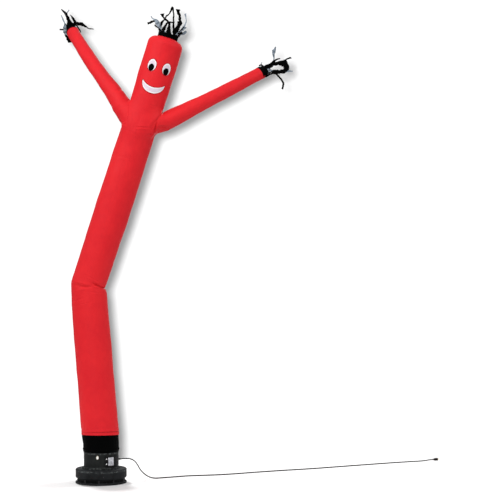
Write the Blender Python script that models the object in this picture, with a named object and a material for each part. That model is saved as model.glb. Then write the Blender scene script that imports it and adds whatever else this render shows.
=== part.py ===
"""Inflatable air dancer on its blower: a tall cloth tube with a head, two arms and streamers.

Metres, +Z up. The origin is the centre of the blower's underside, and the smiling face looks along -Y.
Every tube is followed along its axis by a heading (degrees from straight up, positive to +X) and a
swing (degrees towards +Y). Round a tube, angle 0 is its +X side, 90 its front, 180 its -X side.
"""
import math
from collections import namedtuple

import bmesh
import bpy
import numpy as np

GAP = 0.0003                      # between pieces that touch
CLOTH = 0.002                     # the tube's coated nylon, hems and seams averaged in
STREAMER_CLOTH = 0.0012

# Blower
BLOWER_SIDES = 48
EDGE = 0.006                      # the mouldings' cut-off edges
BASE_RADIUS = 0.307
BASE_HEIGHT = 0.176
WAIST_RADIUS = 0.278              # the recessed air intake guard round the base
WAIST_WALL = 0.012
BOLTS = 10                        # hold the drum above the ground plate, in front of the guard
BOLT_RADIUS = 0.006
BOLT_CIRCLE = 0.288
PLATE_HEIGHT = 0.024              # the ground plate below the waist
WAIST_TOP = 0.058
BARREL_RADIUS = 0.207
BARREL_WALL = 0.006
BARREL_TOP = 0.470
FLANGE_RADIUS = 0.2245
FLANGE_HEIGHT = 0.018
BARREL_SEAT = BARREL_RADIUS + GAP + 0.0002   # where a piece fixed on the barrel starts
PANEL_THICK = 0.008
PANEL_FACE = BARREL_SEAT + PANEL_THICK + GAP
PANEL_ARC = (19.0, 82.0)          # degrees from the front towards +X
PANEL_HEIGHTS = (0.214, 0.333)
PLATE_THICK = 0.002
SCREW_RADIUS = 0.0055
SCREW_HEIGHT = 0.004
PLATE_ARC = (28.0, 48.0)
PLATE_HEIGHTS = (0.224, 0.321)
CAP_ARC = -7.0
CAP_CENTRE_HEIGHT = 0.321
CAP_HALF_WIDTH = 0.018
CAP_HALF_HEIGHT = 0.026
CAP_THICK = 0.006

# Mains lead
CORD_RADIUS = 0.007
CORD_SPACING = 0.06
GLAND_ARC = 115.0
GLAND_HEIGHT = 0.269
GLAND_LENGTH = 0.045
GLAND_ROOT_RADIUS = 0.015
GLAND_TIP_RADIUS = 0.009
PLUG_LENGTH = 0.050
PLUG_RADIUS = 0.0165
PLUG_TAIL = 0.025
PIN_LENGTH = 0.016
Pin = namedtuple("Pin", "name aside rise wide thick")
PINS = (
    Pin("pin_live", 0.0063, 0.003, 0.0015, 0.006),
    Pin("pin_neutral", -0.0063, 0.003, 0.0015, 0.006),
    Pin("pin_earth", 0.0, -0.0075, 0.0045, 0.0045),
)
CORD_ROUTE = (                    # centreline after the gland, laid by hand
    (0.268, 0.125, 0.271), (0.310, 0.140, 0.269), (0.345, 0.155, 0.262), (0.388, 0.172, 0.237),
    (0.424, 0.192, 0.186), (0.459, 0.216, 0.121), (0.506, 0.246, 0.068), (0.566, 0.282, 0.026),
    (0.640, 0.325, 0.0075), (0.720, 0.370, CORD_RADIUS), (0.830, 0.430, CORD_RADIUS),
    (1.016, 0.535, CORD_RADIUS), (1.206, 0.585, CORD_RADIUS), (1.415, 0.645, CORD_RADIUS),
    (1.600, 0.730, CORD_RADIUS), (1.786, 0.835, CORD_RADIUS), (2.165, 1.030, CORD_RADIUS),
    (2.549, 1.205, CORD_RADIUS), (2.943, 1.420, CORD_RADIUS), (3.343, 1.640, CORD_RADIUS),
    (3.753, 1.855, CORD_RADIUS), (4.020, 1.975, CORD_RADIUS), (4.100, 2.013, 0.009),
    (4.160, 2.042, 0.0150), (4.205, 2.064, 0.0170),
)

# Body tube: leg, trunk and head are one tube of cloth
TUBE_START = (-0.012, 0.0, 0.565)
Bend = namedtuple("Bend", "distance heading swing")
TUBE_BENDS = (
    Bend(0.00, 0.0, 0), Bend(0.08, -4.7, 0), Bend(1.69, -4.7, 0), Bend(1.89, 17.8, 0),
    Bend(3.70, 17.8, 0), Bend(3.90, 18.2, 0), Bend(4.10, 18.2, 0), Bend(4.16, 17.2, 0),
    Bend(5.08, 17.2, 0),
)
Girth = namedtuple("Girth", "distance radius")
TUBE_GIRTHS = (
    Girth(0.00, 0.2245), Girth(0.030, 0.2258), Girth(0.034, 0.2235), Girth(0.30, 0.2215),
    Girth(1.60, 0.2170), Girth(1.80, 0.2150), Girth(2.20, 0.2150), Girth(3.00, 0.2135),
    Girth(3.40, 0.2118), Girth(3.70, 0.2065), Girth(4.10, 0.2070), Girth(4.45, 0.2130),
    Girth(5.10, 0.2145),
)
TUBE_SIDES = 24
TUBE_STATIONS = (                 # where the tube has a ring of points, besides those round the knee
    0.0, 0.030, 0.034, 0.08, 0.30, 0.75, 1.20, 1.45, 2.20,
    2.60, 3.00, 3.40, 3.70, 3.90, 4.10, 4.16, 4.45, 4.65,
)
KNEE = 1.795
KNEE_STEP = 0.036
KNEE_RINGS = 6                    # rings each side of the knee
HEAD_TOP = 4.908
CROWN_HEIGHT = 0.092
CROWN_STEPS = 5
NECK_RADIUS = 0.120               # the air outlet on top of the head
NECK_HEIGHT = 0.020
Fold = namedtuple("Fold", "angle distance rise depth reach half_width")
KNEE_FOLDS = (                    # rise is how much further up the tube the fold lies at the front
    Fold(angle=0, distance=KNEE, rise=0.075, depth=0.046, reach=105, half_width=0.055),
    Fold(angle=140, distance=KNEE - 0.02, rise=0.0, depth=0.008, reach=60, half_width=0.050),
    Fold(angle=-140, distance=KNEE - 0.02, rise=0.0, depth=0.008, reach=60, half_width=0.050),
    Fold(angle=180, distance=KNEE - 0.03, rise=0.0, depth=0.003, reach=80, half_width=0.170),
)

# Cuff between the blower's outlet and the tube
CUFF_SIDES = 48
CUFF_PROFILE = (                  # height, inner radius, how far the centre has moved towards -X
    (0.374, 0.2076, 0.000), (0.390, 0.2082, 0.000), (0.400, 0.2110, 0.000), (0.412, 0.2112, 0.000),
    (0.424, 0.2086, 0.000), (0.470, 0.2120, 0.002), (0.540, 0.2165, 0.010), (0.585, 0.2182, 0.012),
)

# Arms: each starts on the tube's axis, and its first part is cut away by the tube
ARM_SIDES = 16
ARM_GIRTHS = (                    # distance back from the hand
    Girth(0.00, 0.0755), Girth(0.30, 0.0795), Girth(0.60, 0.0845), Girth(0.90, 0.0905),
    Girth(1.10, 0.1000), Girth(1.25, 0.1110), Girth(1.40, 0.1130), Girth(1.80, 0.1130),
)
ARM_RINGS = 14
Arm = namedtuple("Arm", "name start length bends")
ARMS = (
    Arm("left", (0.435, 0.0, 4.204), 1.72, (
        Bend(0.00, -30.0, 0), Bend(0.45, -31.5, 10), Bend(0.62, -36.5, 16),
        Bend(0.95, -36.0, 25), Bend(1.15, -33.5, 31), Bend(1.70, -33.0, 46))),
    Arm("right", (0.438, 0.0, 4.206), 1.73, (
        Bend(0.00, 70.0, 0), Bend(0.30, 69.0, 4), Bend(0.42, 62.0, 6),
        Bend(0.65, 62.5, 10), Bend(0.90, 62.0, 14), Bend(1.73, 59.6, 26))),
)

# Face: cloth pieces sewn on the front of the head, placed along the tube and round it
FACE_LIFT = 0.0007
FACE_CLOTH = 0.0012
FACE_CENTRE = 4.487               # distance along the tube
FACE_TURN = 5.0                   # degrees the face is turned towards +X
EYE_SPREAD = 0.094                # each eye's centre from the face's middle, round the head
EYES_ASIDE = 0.008                # the pair sits a little to +X
EYE_RISE = 0.042
EYE_HALF_WIDTH = 0.056
EYE_HALF_HEIGHT = 0.076
PUPIL_ASIDE = -0.006
PUPIL_DROP = 0.024
PUPIL_HALF_WIDTH = 0.036
PUPIL_HALF_HEIGHT = 0.044
SMILE_HALF_WIDTH = 0.146
SMILE_CORNERS = -0.135
SMILE_UPPER_SAG = 0.046
SMILE_LOWER_SAG = 0.133

# Streamers: each fringe is one piece of cloth, a band sewn round the opening and cut into strips
HEAD_BAND_HEIGHT = 0.058
HEAD_BAND_CLEAR = GAP + 0.0002    # from the neck's cloth to each band
HAND_BAND_HEIGHT = 0.085
HAND_BAND_CLEAR = GAP + 0.0001
HAND_OVERLAP = 0.015
HAND_BAND_END = 0.62              # the band narrows to this share of the hand's radius
STRIP_STEP = 0.030                # a streamer has a row of points about this often
STRIP_LEAST_STEPS = 6
STRIP_ROOT = 0.3                  # the share of a streamer over which it reaches its own width
Strip = namedtuple("Strip", "column length end_width headings lean_in lean_out twist")

RED = ("red_nylon", (0.80, 0.035, 0.045, 1.0), 0.55, 0.0)
BLACK_CLOTH = ("black_nylon", (0.010, 0.010, 0.011, 1.0), 0.60, 0.0)
SILVER_CLOTH = ("silver_nylon", (0.30, 0.36, 0.42, 1.0), 0.35, 0.3)
WHITE_CLOTH = ("white_nylon", (0.90, 0.89, 0.91, 1.0), 0.60, 0.0)
BLOWER_BLACK = ("blower_plastic", (0.020, 0.021, 0.023, 1.0), 0.50, 0.0)
PALE_PLASTIC = ("pale_plastic", (0.72, 0.73, 0.75, 1.0), 0.40, 0.0)
BOLT_STEEL = ("bolt_steel", (0.55, 0.55, 0.56, 1.0), 0.35, 1.0)
CORD_RUBBER = ("cord_rubber", (0.030, 0.022, 0.018, 1.0), 0.50, 0.0)
PIN_BRASS = ("pin_brass", (0.75, 0.60, 0.30, 1.0), 0.3, 1.0)


def clear_scene():
    for thing in list(bpy.data.objects):
        bpy.data.objects.remove(thing, do_unlink=True)


def material(spec):
    name, colour, roughness, metallic = spec
    found = bpy.data.materials.get(name)
    if found:
        return found
    made = bpy.data.materials.new(name)
    made.use_nodes = True
    shader = made.node_tree.nodes["Principled BSDF"]
    shader.inputs["Base Color"].default_value = colour
    shader.inputs["Roughness"].default_value = roughness
    shader.inputs["Metallic"].default_value = metallic
    return made


def make_object(name, points, faces, spec=None, smooth_angle=None, closed=True):
    """A mesh object, its faces turned outwards if it is closed. With no material it is a hidden cutter."""
    mesh = bpy.data.meshes.new(name)
    mesh.from_pydata([tuple(map(float, p)) for p in points], [], [list(map(int, f)) for f in faces])
    if closed:
        work = bmesh.new()
        work.from_mesh(mesh)
        bmesh.ops.recalc_face_normals(work, faces=work.faces)
        work.to_mesh(mesh)
        work.free()
    thing = bpy.data.objects.new(name, mesh)
    bpy.context.scene.collection.objects.link(thing)
    if spec is None:
        thing.hide_render = True
        thing.display_type = "WIRE"
        return thing
    mesh.materials.append(material(spec))
    if smooth_angle is not None:
        mesh.shade_smooth()
        mesh.set_sharp_from_angle(angle=math.radians(smooth_angle))
    return thing


def cut(thing, cutter, operation="DIFFERENCE"):
    step = thing.modifiers.new(operation.title(), "BOOLEAN")
    step.operation = operation
    step.solver = "EXACT"
    step.object = cutter


def follow(start, bends, distances):
    """Centres and the along, across and front directions of a tube's axis at the distances."""
    table = np.array(bends, float)
    fine = np.linspace(0.0, max(float(np.max(distances)), 1e-6), 1200)

    def directions(where):
        heading = np.radians(np.interp(where, table[:, 0], table[:, 1]))
        swing = np.radians(np.interp(where, table[:, 0], table[:, 2]))
        along = np.stack([np.cos(swing) * np.sin(heading), np.sin(swing),
                          np.cos(swing) * np.cos(heading)], axis=-1)
        across = np.stack([np.cos(heading), np.zeros_like(heading), -np.sin(heading)], axis=-1)
        return along, across

    along, across = directions(fine)
    steps = (along[1:] + along[:-1]) / 2 * np.diff(fine)[:, None]
    walked = np.vstack([np.zeros(3), np.cumsum(steps, axis=0)]) + np.array(start, float)
    centres = np.stack([np.interp(distances, fine, walked[:, k]) for k in range(3)], axis=-1)
    along, across = directions(np.asarray(distances, float))
    return centres, along, across, np.cross(across, along)


def rings(frames, radii, sides):
    """A grid of points, a ring at each station. radii is one number, one a ring, or one a point."""
    centres, _, across, front = frames
    turn = np.linspace(0, 2 * math.pi, sides, endpoint=False)
    radii = np.asarray(radii, float)
    radii = np.broadcast_to(radii[:, None] if radii.ndim == 1 else radii, (len(centres), sides))
    spokes = (np.cos(turn)[None, :, None] * across[:, None, :]
              + np.sin(turn)[None, :, None] * front[:, None, :])
    return centres[:, None, :] + radii[:, :, None] * spokes


def grid_normals(grid):
    """Outward unit normals of a closed-round grid, from its neighbours' differences."""
    along = np.gradient(grid, axis=0)
    round_way = np.roll(grid, -1, axis=1) - np.roll(grid, 1, axis=1)
    normal = np.cross(along, round_way)
    return normal / np.linalg.norm(normal, axis=-1, keepdims=True)


def round_faces(rows, sides, offset=0):
    return [(offset + i * sides + j, offset + (i + 1) * sides + j,
             offset + (i + 1) * sides + (j + 1) % sides, offset + i * sides + (j + 1) % sides)
            for i in range(rows - 1) for j in range(sides)]


def skin(name, outer, thickness, spec):
    """A tube of cloth, open at both ends, from its outer grid."""
    rows, sides, _ = outer.shape
    inner = outer - thickness * grid_normals(outer)
    count = rows * sides
    faces = round_faces(rows, sides) + round_faces(rows, sides, count)
    for end in (0, rows - 1):
        for j in range(sides):
            k = (j + 1) % sides
            a, b = end * sides + j, end * sides + k
            faces.append((a, b, count + b, count + a))
    return make_object(name, np.vstack([outer.reshape(-1, 3), inner.reshape(-1, 3)]), faces, spec, 40)


def plug_form(name, outer):
    """A closed cutter that fills a tube's grid."""
    rows, sides, _ = outer.shape
    faces = round_faces(rows, sides)
    faces += [tuple(range(sides)), tuple((rows - 1) * sides + j for j in range(sides))]
    return make_object(name, outer.reshape(-1, 3), faces)


def turned(name, profile, sides, spec, smooth_angle=30, centre=(0.0, 0.0)):
    """A solid of revolution about Z. Its (radius, height) rows start and end on the axis, or close up."""
    closed = profile[0][0] > 0
    points, rows = [], []
    for radius, height in profile:
        if radius == 0:
            rows.append([len(points)] * sides)
            points.append((centre[0], centre[1], height))
            continue
        rows.append(list(range(len(points), len(points) + sides)))
        for j in range(sides):
            turn = 2 * math.pi * j / sides
            x, y = radius * math.cos(turn), radius * math.sin(turn)
            points.append((centre[0] + x, centre[1] + y, height))
    pairs = list(zip(rows, rows[1:] + rows[:1])) if closed else list(zip(rows, rows[1:]))
    faces = []
    for low, high in pairs:
        for j in range(sides):
            k = (j + 1) % sides
            corners = list(dict.fromkeys((low[j], low[k], high[k], high[j])))
            if len(corners) > 2:
                faces.append(corners)
    return make_object(name, points, faces, spec, smooth_angle)


def barrel_point(arc, height, radius):
    turn = math.radians(arc)
    return (radius * math.sin(turn), -radius * math.cos(turn), height)


def barrel_pad(name, arcs, heights, inner, outer, spec, columns=8, corner=0.2):
    """A plate bent round the barrel between two arcs and two heights, its corners cut off."""
    outline = []
    middle = ((arcs[0] + arcs[1]) / 2, (heights[0] + heights[1]) / 2)
    half = ((arcs[1] - arcs[0]) / 2, (heights[1] - heights[0]) / 2)
    for step in range(columns + 1):
        across = -1 + 2 * step / columns
        fall = max(0.0, (abs(across) - (1 - corner)) / corner) ** 2 * corner * 0.5
        outline.append((middle[0] + across * half[0], half[1] * (1 - fall)))
    points = []
    for radius in (inner, outer):
        for sign in (-1, 1):
            points += [barrel_point(arc, middle[1] + sign * rise, radius) for arc, rise in outline]
    n = columns + 1
    faces = []
    for j in range(columns):
        faces += [(j, j + 1, n + j + 1, n + j), (2 * n + j, 3 * n + j, 3 * n + j + 1, 2 * n + j + 1),
                  (j, 2 * n + j, 2 * n + j + 1, j + 1), (n + j, n + j + 1, 3 * n + j + 1, 3 * n + j)]
    for j in (0, columns):
        faces.append((j, n + j, 3 * n + j, 2 * n + j))
    return make_object(name, points, faces, spec)


def blower():
    plate = [(0, 0), (BASE_RADIUS - EDGE, 0), (BASE_RADIUS, EDGE), (BASE_RADIUS, PLATE_HEIGHT - EDGE),
             (BASE_RADIUS - EDGE, PLATE_HEIGHT), (0, PLATE_HEIGHT)]
    turned("ground_plate", plate, BLOWER_SIDES, BLOWER_BLACK)
    low, inner = PLATE_HEIGHT + GAP, WAIST_RADIUS - WAIST_WALL
    guard = [(WAIST_RADIUS, low), (WAIST_RADIUS, WAIST_TOP), (inner, WAIST_TOP), (inner, low)]
    turned("intake_guard", guard, BLOWER_SIDES, BLOWER_BLACK)
    low = WAIST_TOP + GAP
    drum = [(0, low), (WAIST_RADIUS + EDGE, low), (BASE_RADIUS - EDGE, low + 0.010),
            (BASE_RADIUS, low + 0.020), (BASE_RADIUS, BASE_HEIGHT - 2 * EDGE),
            (BASE_RADIUS - 2 * EDGE, BASE_HEIGHT), (0, BASE_HEIGHT)]
    turned("blower_drum", drum, BLOWER_SIDES, BLOWER_BLACK)
    waist_bolts()
    barrel()
    barrel_pad("switch_panel", PANEL_ARC, PANEL_HEIGHTS, BARREL_SEAT, BARREL_SEAT + PANEL_THICK,
               BLOWER_BLACK)
    panel_screws()
    barrel_pad("blank_plate", PLATE_ARC, PLATE_HEIGHTS, PANEL_FACE, PANEL_FACE + PLATE_THICK, PALE_PLASTIC,
               6, 0.08)


def barrel():
    """The outlet barrel: a cup with a flange, standing on the drum."""
    low, inner = BASE_HEIGHT + GAP, BARREL_RADIUS - BARREL_WALL
    shelf = low + FLANGE_HEIGHT
    cup = [(0, low), (FLANGE_RADIUS, low), (FLANGE_RADIUS, shelf), (BARREL_RADIUS + 0.004, shelf),
           (BARREL_RADIUS, shelf + EDGE), (BARREL_RADIUS, BARREL_TOP), (inner, BARREL_TOP),
           (inner, low + BARREL_WALL), (0, low + BARREL_WALL)]
    turned("blower_barrel", cup, BLOWER_SIDES, BLOWER_BLACK)


def waist_bolts():
    for number in range(BOLTS):
        turn = math.radians(18 + 360 * number / BOLTS)
        centre = (BOLT_CIRCLE * math.cos(turn), BOLT_CIRCLE * math.sin(turn))
        low, high = PLATE_HEIGHT + GAP, WAIST_TOP
        rod = [(0, low), (BOLT_RADIUS, low), (BOLT_RADIUS, high), (0, high)]
        turned("spacer_bolt_%02d" % (number + 1), rod, 8, BOLT_STEEL, centre=centre)


def panel_screws():
    """Four round heads that hold the switch panel on the barrel."""
    places = [(arc, height) for arc in (PANEL_ARC[0] + 3.5, PANEL_ARC[1] - 12)
              for height in (PANEL_HEIGHTS[0] + 0.030, PANEL_HEIGHTS[1] - 0.030)]
    for number, (arc, height) in enumerate(places):
        foot = barrel_point(arc, height, PANEL_FACE)
        tip = barrel_point(arc, height, PANEL_FACE + SCREW_HEIGHT)
        dome = ((0, SCREW_RADIUS), (0.5, SCREW_RADIUS), (1, 0.6 * SCREW_RADIUS))
        tapered_rod("panel_screw_%d" % (number + 1), foot, tip, dome, 8, BOLT_STEEL)


def oval_cap():
    """The pale oval cap on the barrel's front, bent to the barrel."""
    sides, outer = 20, BARREL_SEAT + CAP_THICK
    points = [barrel_point(CAP_ARC, CAP_CENTRE_HEIGHT, radius) for radius in (BARREL_SEAT, outer)]
    for radius, share in ((BARREL_SEAT, 1.0), (BARREL_SEAT + 0.6 * CAP_THICK, 1.0), (outer, 0.75)):
        for x, rise in oval((0, CAP_CENTRE_HEIGHT), share * CAP_HALF_WIDTH, share * CAP_HALF_HEIGHT, sides):
            points.append(barrel_point(CAP_ARC + math.degrees(x / BARREL_RADIUS), rise, radius))
    faces = []
    for j in range(sides):
        k = (j + 1) % sides
        faces.append((0, 2 + k, 2 + j))
        for low in (2, 2 + sides):
            faces.append((low + j, low + k, low + sides + k, low + sides + j))
        faces.append((1, 2 + 2 * sides + j, 2 + 2 * sides + k))
    make_object("oval_cap", points, faces, PALE_PLASTIC, 30)


def tapered_rod(name, start, end, sections, sides, spec):
    """A solid from start to end; sections are (share of the way, radius)."""
    start, end = np.array(start, float), np.array(end, float)
    along = (end - start) / np.linalg.norm(end - start)
    side = np.cross(along, (0, 0, 1.0))
    side /= np.linalg.norm(side)
    up = np.cross(side, along)
    turn = np.linspace(0, 2 * math.pi, sides, endpoint=False)
    spokes = np.cos(turn)[:, None] * side + np.sin(turn)[:, None] * up
    grid = np.stack([start + share * (end - start) + radius * spokes for share, radius in sections])
    faces = round_faces(len(sections), sides)
    faces += [tuple(range(sides)), tuple((len(sections) - 1) * sides + j for j in range(sides))]
    return make_object(name, grid.reshape(-1, 3), faces, spec, 35)


def smooth_route(points, spacing):
    """A smooth curve through the points that never sinks into the floor, read at even spacing."""
    knots = np.array(points, float)
    spans = np.concatenate([[0], np.cumsum(np.linalg.norm(np.diff(knots, axis=0), axis=1))])
    slopes = np.gradient(knots, spans, axis=0)
    where = np.linspace(0, spans[-1], 4000)
    k = np.clip(np.searchsorted(spans, where, side="right") - 1, 0, len(spans) - 2)
    width = (spans[k + 1] - spans[k])[:, None]
    t = ((where - spans[k])[:, None]) / width
    curve = ((2 * t**3 - 3 * t**2 + 1) * knots[k] + (t**3 - 2 * t**2 + t) * width * slopes[k]
             + (-2 * t**3 + 3 * t**2) * knots[k + 1] + (t**3 - t**2) * width * slopes[k + 1])
    curve[:, 2] = np.maximum(curve[:, 2], CORD_RADIUS)
    length = np.concatenate([[0], np.cumsum(np.linalg.norm(np.diff(curve, axis=0), axis=1))])
    even = np.linspace(0, length[-1], max(2, round(length[-1] / spacing)) + 1)
    return np.stack([np.interp(even, length, curve[:, axis]) for axis in range(3)], axis=-1)


def mains_lead():
    root = barrel_point(GLAND_ARC, GLAND_HEIGHT, BARREL_RADIUS + GAP)
    tip = barrel_point(GLAND_ARC, GLAND_HEIGHT, BARREL_RADIUS + GLAND_LENGTH)
    steps = ((0, GLAND_ROOT_RADIUS), (0.2, GLAND_ROOT_RADIUS), (0.25, 0.0115), (1, GLAND_TIP_RADIUS))
    tapered_rod("cord_gland", root, tip, steps, 12, BLOWER_BLACK)
    exit_point = barrel_point(GLAND_ARC, GLAND_HEIGHT, BARREL_RADIUS + GLAND_LENGTH + GAP)
    route = smooth_route((exit_point,) + CORD_ROUTE, CORD_SPACING)
    curve = bpy.data.curves.new("cord", "CURVE")
    curve.dimensions = "3D"
    line = curve.splines.new("POLY")
    line.points.add(len(route) - 1)
    for point, place in zip(line.points, route):
        point.co = (*place, 1.0)
    curve.bevel_depth = CORD_RADIUS
    curve.bevel_resolution = 2
    curve.use_fill_caps = True
    curve.materials.append(material(CORD_RUBBER))
    bpy.context.scene.collection.objects.link(bpy.data.objects.new("cord", curve))
    plug(route[-1], route[-1] - route[-2])


def plug(cord_end, direction):
    """A moulded three-pin plug that lies on the floor at the lead's end."""
    along = np.array((direction[0], direction[1], 0.0))
    along /= np.linalg.norm(along)
    start = cord_end + along * GAP
    body = start + along * (PLUG_TAIL + PLUG_LENGTH)
    share = PLUG_TAIL / (PLUG_TAIL + PLUG_LENGTH)
    shape = ((0, 0.0085), (share * 0.9, 0.0105), (share, 0.0140), (share + 0.12, PLUG_RADIUS),
             (0.95, PLUG_RADIUS), (1, 0.0150))
    tapered_rod("plug", start, body, shape, 16, CORD_RUBBER)
    side = np.array((-along[1], along[0], 0.0))
    for pin in PINS:
        corner = np.array((0, 0, pin.rise - pin.thick / 2))
        low = body + along * GAP + side * (pin.aside - pin.wide / 2) + corner
        corners = [low + along * a * PIN_LENGTH + side * b * pin.wide + np.array((0, 0, c * pin.thick))
                   for a in (0, 1) for b in (0, 1) for c in (0, 1)]
        faces = [(0, 1, 3, 2), (4, 6, 7, 5), (0, 4, 5, 1), (2, 3, 7, 6), (0, 2, 6, 4), (1, 5, 7, 3)]
        make_object(pin.name, corners, faces, PIN_BRASS)


def fold_depth(folds, distance, angle):
    """How far the folds press the cloth in, at grids of distance and angle (degrees)."""
    total = np.zeros(np.broadcast(distance, angle).shape)
    for fold in folds:
        off = np.abs((angle - fold.angle + 180) % 360 - 180)
        strength = np.cos(np.clip(off / fold.reach, 0, 1) * math.pi / 2) ** 1.5
        line = fold.distance + fold.rise * (1 - np.cos(np.radians(off)))
        across = np.clip(1 - np.abs(distance - line) / fold.half_width, 0, 1)
        total += fold.depth * strength * across**1.3
    return total


def radius_at(girths, distance):
    return np.interp(distance, [girth.distance for girth in girths], [girth.radius for girth in girths])


def tube_grid(stations, widen=0.0):
    stations = np.asarray(stations, float)
    radius = radius_at(TUBE_GIRTHS, stations)[:, None]
    angle = np.linspace(0, 360, TUBE_SIDES, endpoint=False)[None, :]
    radius = radius - fold_depth(KNEE_FOLDS, stations[:, None], angle)
    return rings(follow(TUBE_START, TUBE_BENDS, stations), radius + widen, TUBE_SIDES)


def body_stations():
    knee = [KNEE + KNEE_STEP * k for k in range(-KNEE_RINGS, KNEE_RINGS + 1)]
    return sorted(list(TUBE_STATIONS) + knee)


def crown_grid():
    """The rounded top of the head, narrowing to the neck of the air outlet."""
    base = HEAD_TOP - CROWN_HEIGHT
    shoulder = radius_at(TUBE_GIRTHS, base)
    turn = np.linspace(0, math.pi / 2, CROWN_STEPS + 1)
    stations = list(base + CROWN_HEIGHT * np.sin(turn) * 0.97)
    radii = list(NECK_RADIUS + 0.003 + (shoulder - NECK_RADIUS - 0.003) * np.cos(turn))
    stations += [HEAD_TOP + 0.002, HEAD_TOP + NECK_HEIGHT]
    radii += [NECK_RADIUS, NECK_RADIUS]
    return rings(follow(TUBE_START, TUBE_BENDS, np.array(stations)), np.array(radii), TUBE_SIDES)


def body_tube():
    grid = np.concatenate([tube_grid(body_stations()), crown_grid()])
    return skin("body_tube", grid, CLOTH, RED)


def cuff():
    heights, inner, shift = np.array(CUFF_PROFILE).T
    turn = np.linspace(0, 2 * math.pi, CUFF_SIDES, endpoint=False)
    outer = inner + CLOTH
    grid = np.stack([outer[:, None] * np.cos(turn) - shift[:, None], -outer[:, None] * np.sin(turn),
                     np.broadcast_to(heights[:, None], (len(heights), CUFF_SIDES))], axis=-1)
    skin("cuff", grid, CLOTH, BLACK_CLOTH)


def arm_radius(arm, stations):
    return radius_at(ARM_GIRTHS, arm.length - stations)


def arm_grid(arm, narrow=0.0):
    stations = np.append(np.linspace(0, arm.length - HAND_OVERLAP, ARM_RINGS), arm.length)
    frames = follow(arm.start, arm.bends, stations)
    return rings(frames, arm_radius(arm, stations) - narrow, ARM_SIDES)


def arms(tube):
    """Sleeves sewn on the trunk: each ends on its surface, over a hole of the sleeve's own size."""
    trunk_stations = [s for s in body_stations() if 3.0 < s < 4.75]
    trunk = plug_form("trunk_cutter", tube_grid(trunk_stations, widen=GAP))
    for arm in ARMS:
        sleeve = skin("arm_" + arm.name, arm_grid(arm), CLOTH, RED)
        cut(sleeve, trunk)
        hole = plug_form("hole_cutter_" + arm.name, arm_grid(arm, narrow=CLOTH))
        cut(tube, hole)


def head_point(round_way, up, lift):
    """A point on the head's front: round_way and up are lengths on its surface from the face's middle."""
    distance = FACE_CENTRE + up
    radius = radius_at(TUBE_GIRTHS, distance)
    centre, _, across, front = follow(TUBE_START, TUBE_BENDS, np.array([distance]))
    turn = round_way / radius + math.radians(FACE_TURN)
    return centre[0] + (radius + lift) * (math.sin(turn) * across[0] + math.cos(turn) * front[0])


def patch(name, outline, middle, rows, lift, spec):
    """A piece of cloth on the head, in rings that lead from near its middle to its outline."""
    points, n = [], len(outline)
    layers = []
    for height in (lift, lift + FACE_CLOTH):
        layer = []
        for share in rows:
            layer.append(list(range(len(points), len(points) + n)))
            for x, y in outline:
                points.append(head_point(middle[0] + share * (x - middle[0]),
                                         middle[1] + share * (y - middle[1]), height))
        layers.append(layer)
    faces = []
    for layer, flip in zip(layers, (True, False)):
        faces.append(tuple(layer[0][::-1]) if flip else tuple(layer[0]))
        for low, high in zip(layer, layer[1:]):
            for j in range(n):
                k = (j + 1) % n
                faces.append((low[j], low[k], high[k], high[j]))
    low, high = layers[0][-1], layers[1][-1]
    for j in range(n):
        k = (j + 1) % n
        faces.append((low[j], low[k], high[k], high[j]))
    return make_object(name, points, faces, spec)


def oval(centre, half_width, half_height, sides):
    turns = [2 * math.pi * j / sides for j in range(sides)]
    return [(centre[0] + half_width * math.cos(t), centre[1] + half_height * math.sin(t)) for t in turns]


def face():
    for side, sign in (("left", -1), ("right", 1)):
        eye = (EYES_ASIDE + sign * EYE_SPREAD, EYE_RISE)
        pupil = (eye[0] + PUPIL_ASIDE, eye[1] - PUPIL_DROP)
        patch("eye_" + side, oval(eye, EYE_HALF_WIDTH, EYE_HALF_HEIGHT, 20), eye, (0.12, 0.42, 0.72, 1.0),
              FACE_LIFT, WHITE_CLOTH)
        patch("pupil_" + side, oval(pupil, PUPIL_HALF_WIDTH, PUPIL_HALF_HEIGHT, 16), pupil, (0.2, 0.6, 1.0),
              FACE_LIFT + FACE_CLOTH + 2 * GAP, BLACK_CLOTH)
    smile()


def smile():
    """A crescent between a shallow upper curve and a half oval below, as a strip of columns."""
    columns = 24
    across = -np.cos(np.linspace(0, math.pi, columns + 1)) * SMILE_HALF_WIDTH
    share = across / SMILE_HALF_WIDTH
    upper = SMILE_CORNERS - SMILE_UPPER_SAG * (1 - share**2)
    lower = SMILE_CORNERS - SMILE_LOWER_SAG * np.sqrt(np.clip(1 - share**2, 0, 1))
    rows = 3
    points, index = [], {}
    for layer, lift in enumerate((FACE_LIFT, FACE_LIFT + FACE_CLOTH)):
        for i in range(columns + 1):
            for r in range(rows + 1):
                if i in (0, columns) and r:
                    index[layer, i, r] = index[layer, i, 0]
                    continue
                index[layer, i, r] = len(points)
                points.append(head_point(across[i], upper[i] + (lower[i] - upper[i]) * r / rows, lift))
    faces = []
    for i in range(columns):
        for r in range(rows):
            for layer in (0, 1):
                corners = [index[layer, i, r], index[layer, i + 1, r],
                           index[layer, i + 1, r + 1], index[layer, i, r + 1]]
                faces.append(list(dict.fromkeys(corners)))
        for r in (0, rows):
            corners = [index[0, i, r], index[0, i + 1, r], index[1, i + 1, r], index[1, i, r]]
            faces.append(list(dict.fromkeys(corners)))
    make_object("smile", points, faces, WHITE_CLOTH)


def strip_path(root, strip):
    """Centres and width directions of one streamer, whose headings and lean turn evenly along it."""
    shares = np.linspace(0, 1, len(strip.headings))
    bends = [Bend(share * strip.length, heading, strip.lean_in + share * (strip.lean_out - strip.lean_in))
             for share, heading in zip(shares, strip.headings)]
    steps = max(STRIP_LEAST_STEPS, round(strip.length / STRIP_STEP))
    stations = np.linspace(0, 1, steps + 1)[1:] * strip.length
    return follow(root, bends, stations), stations


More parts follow.
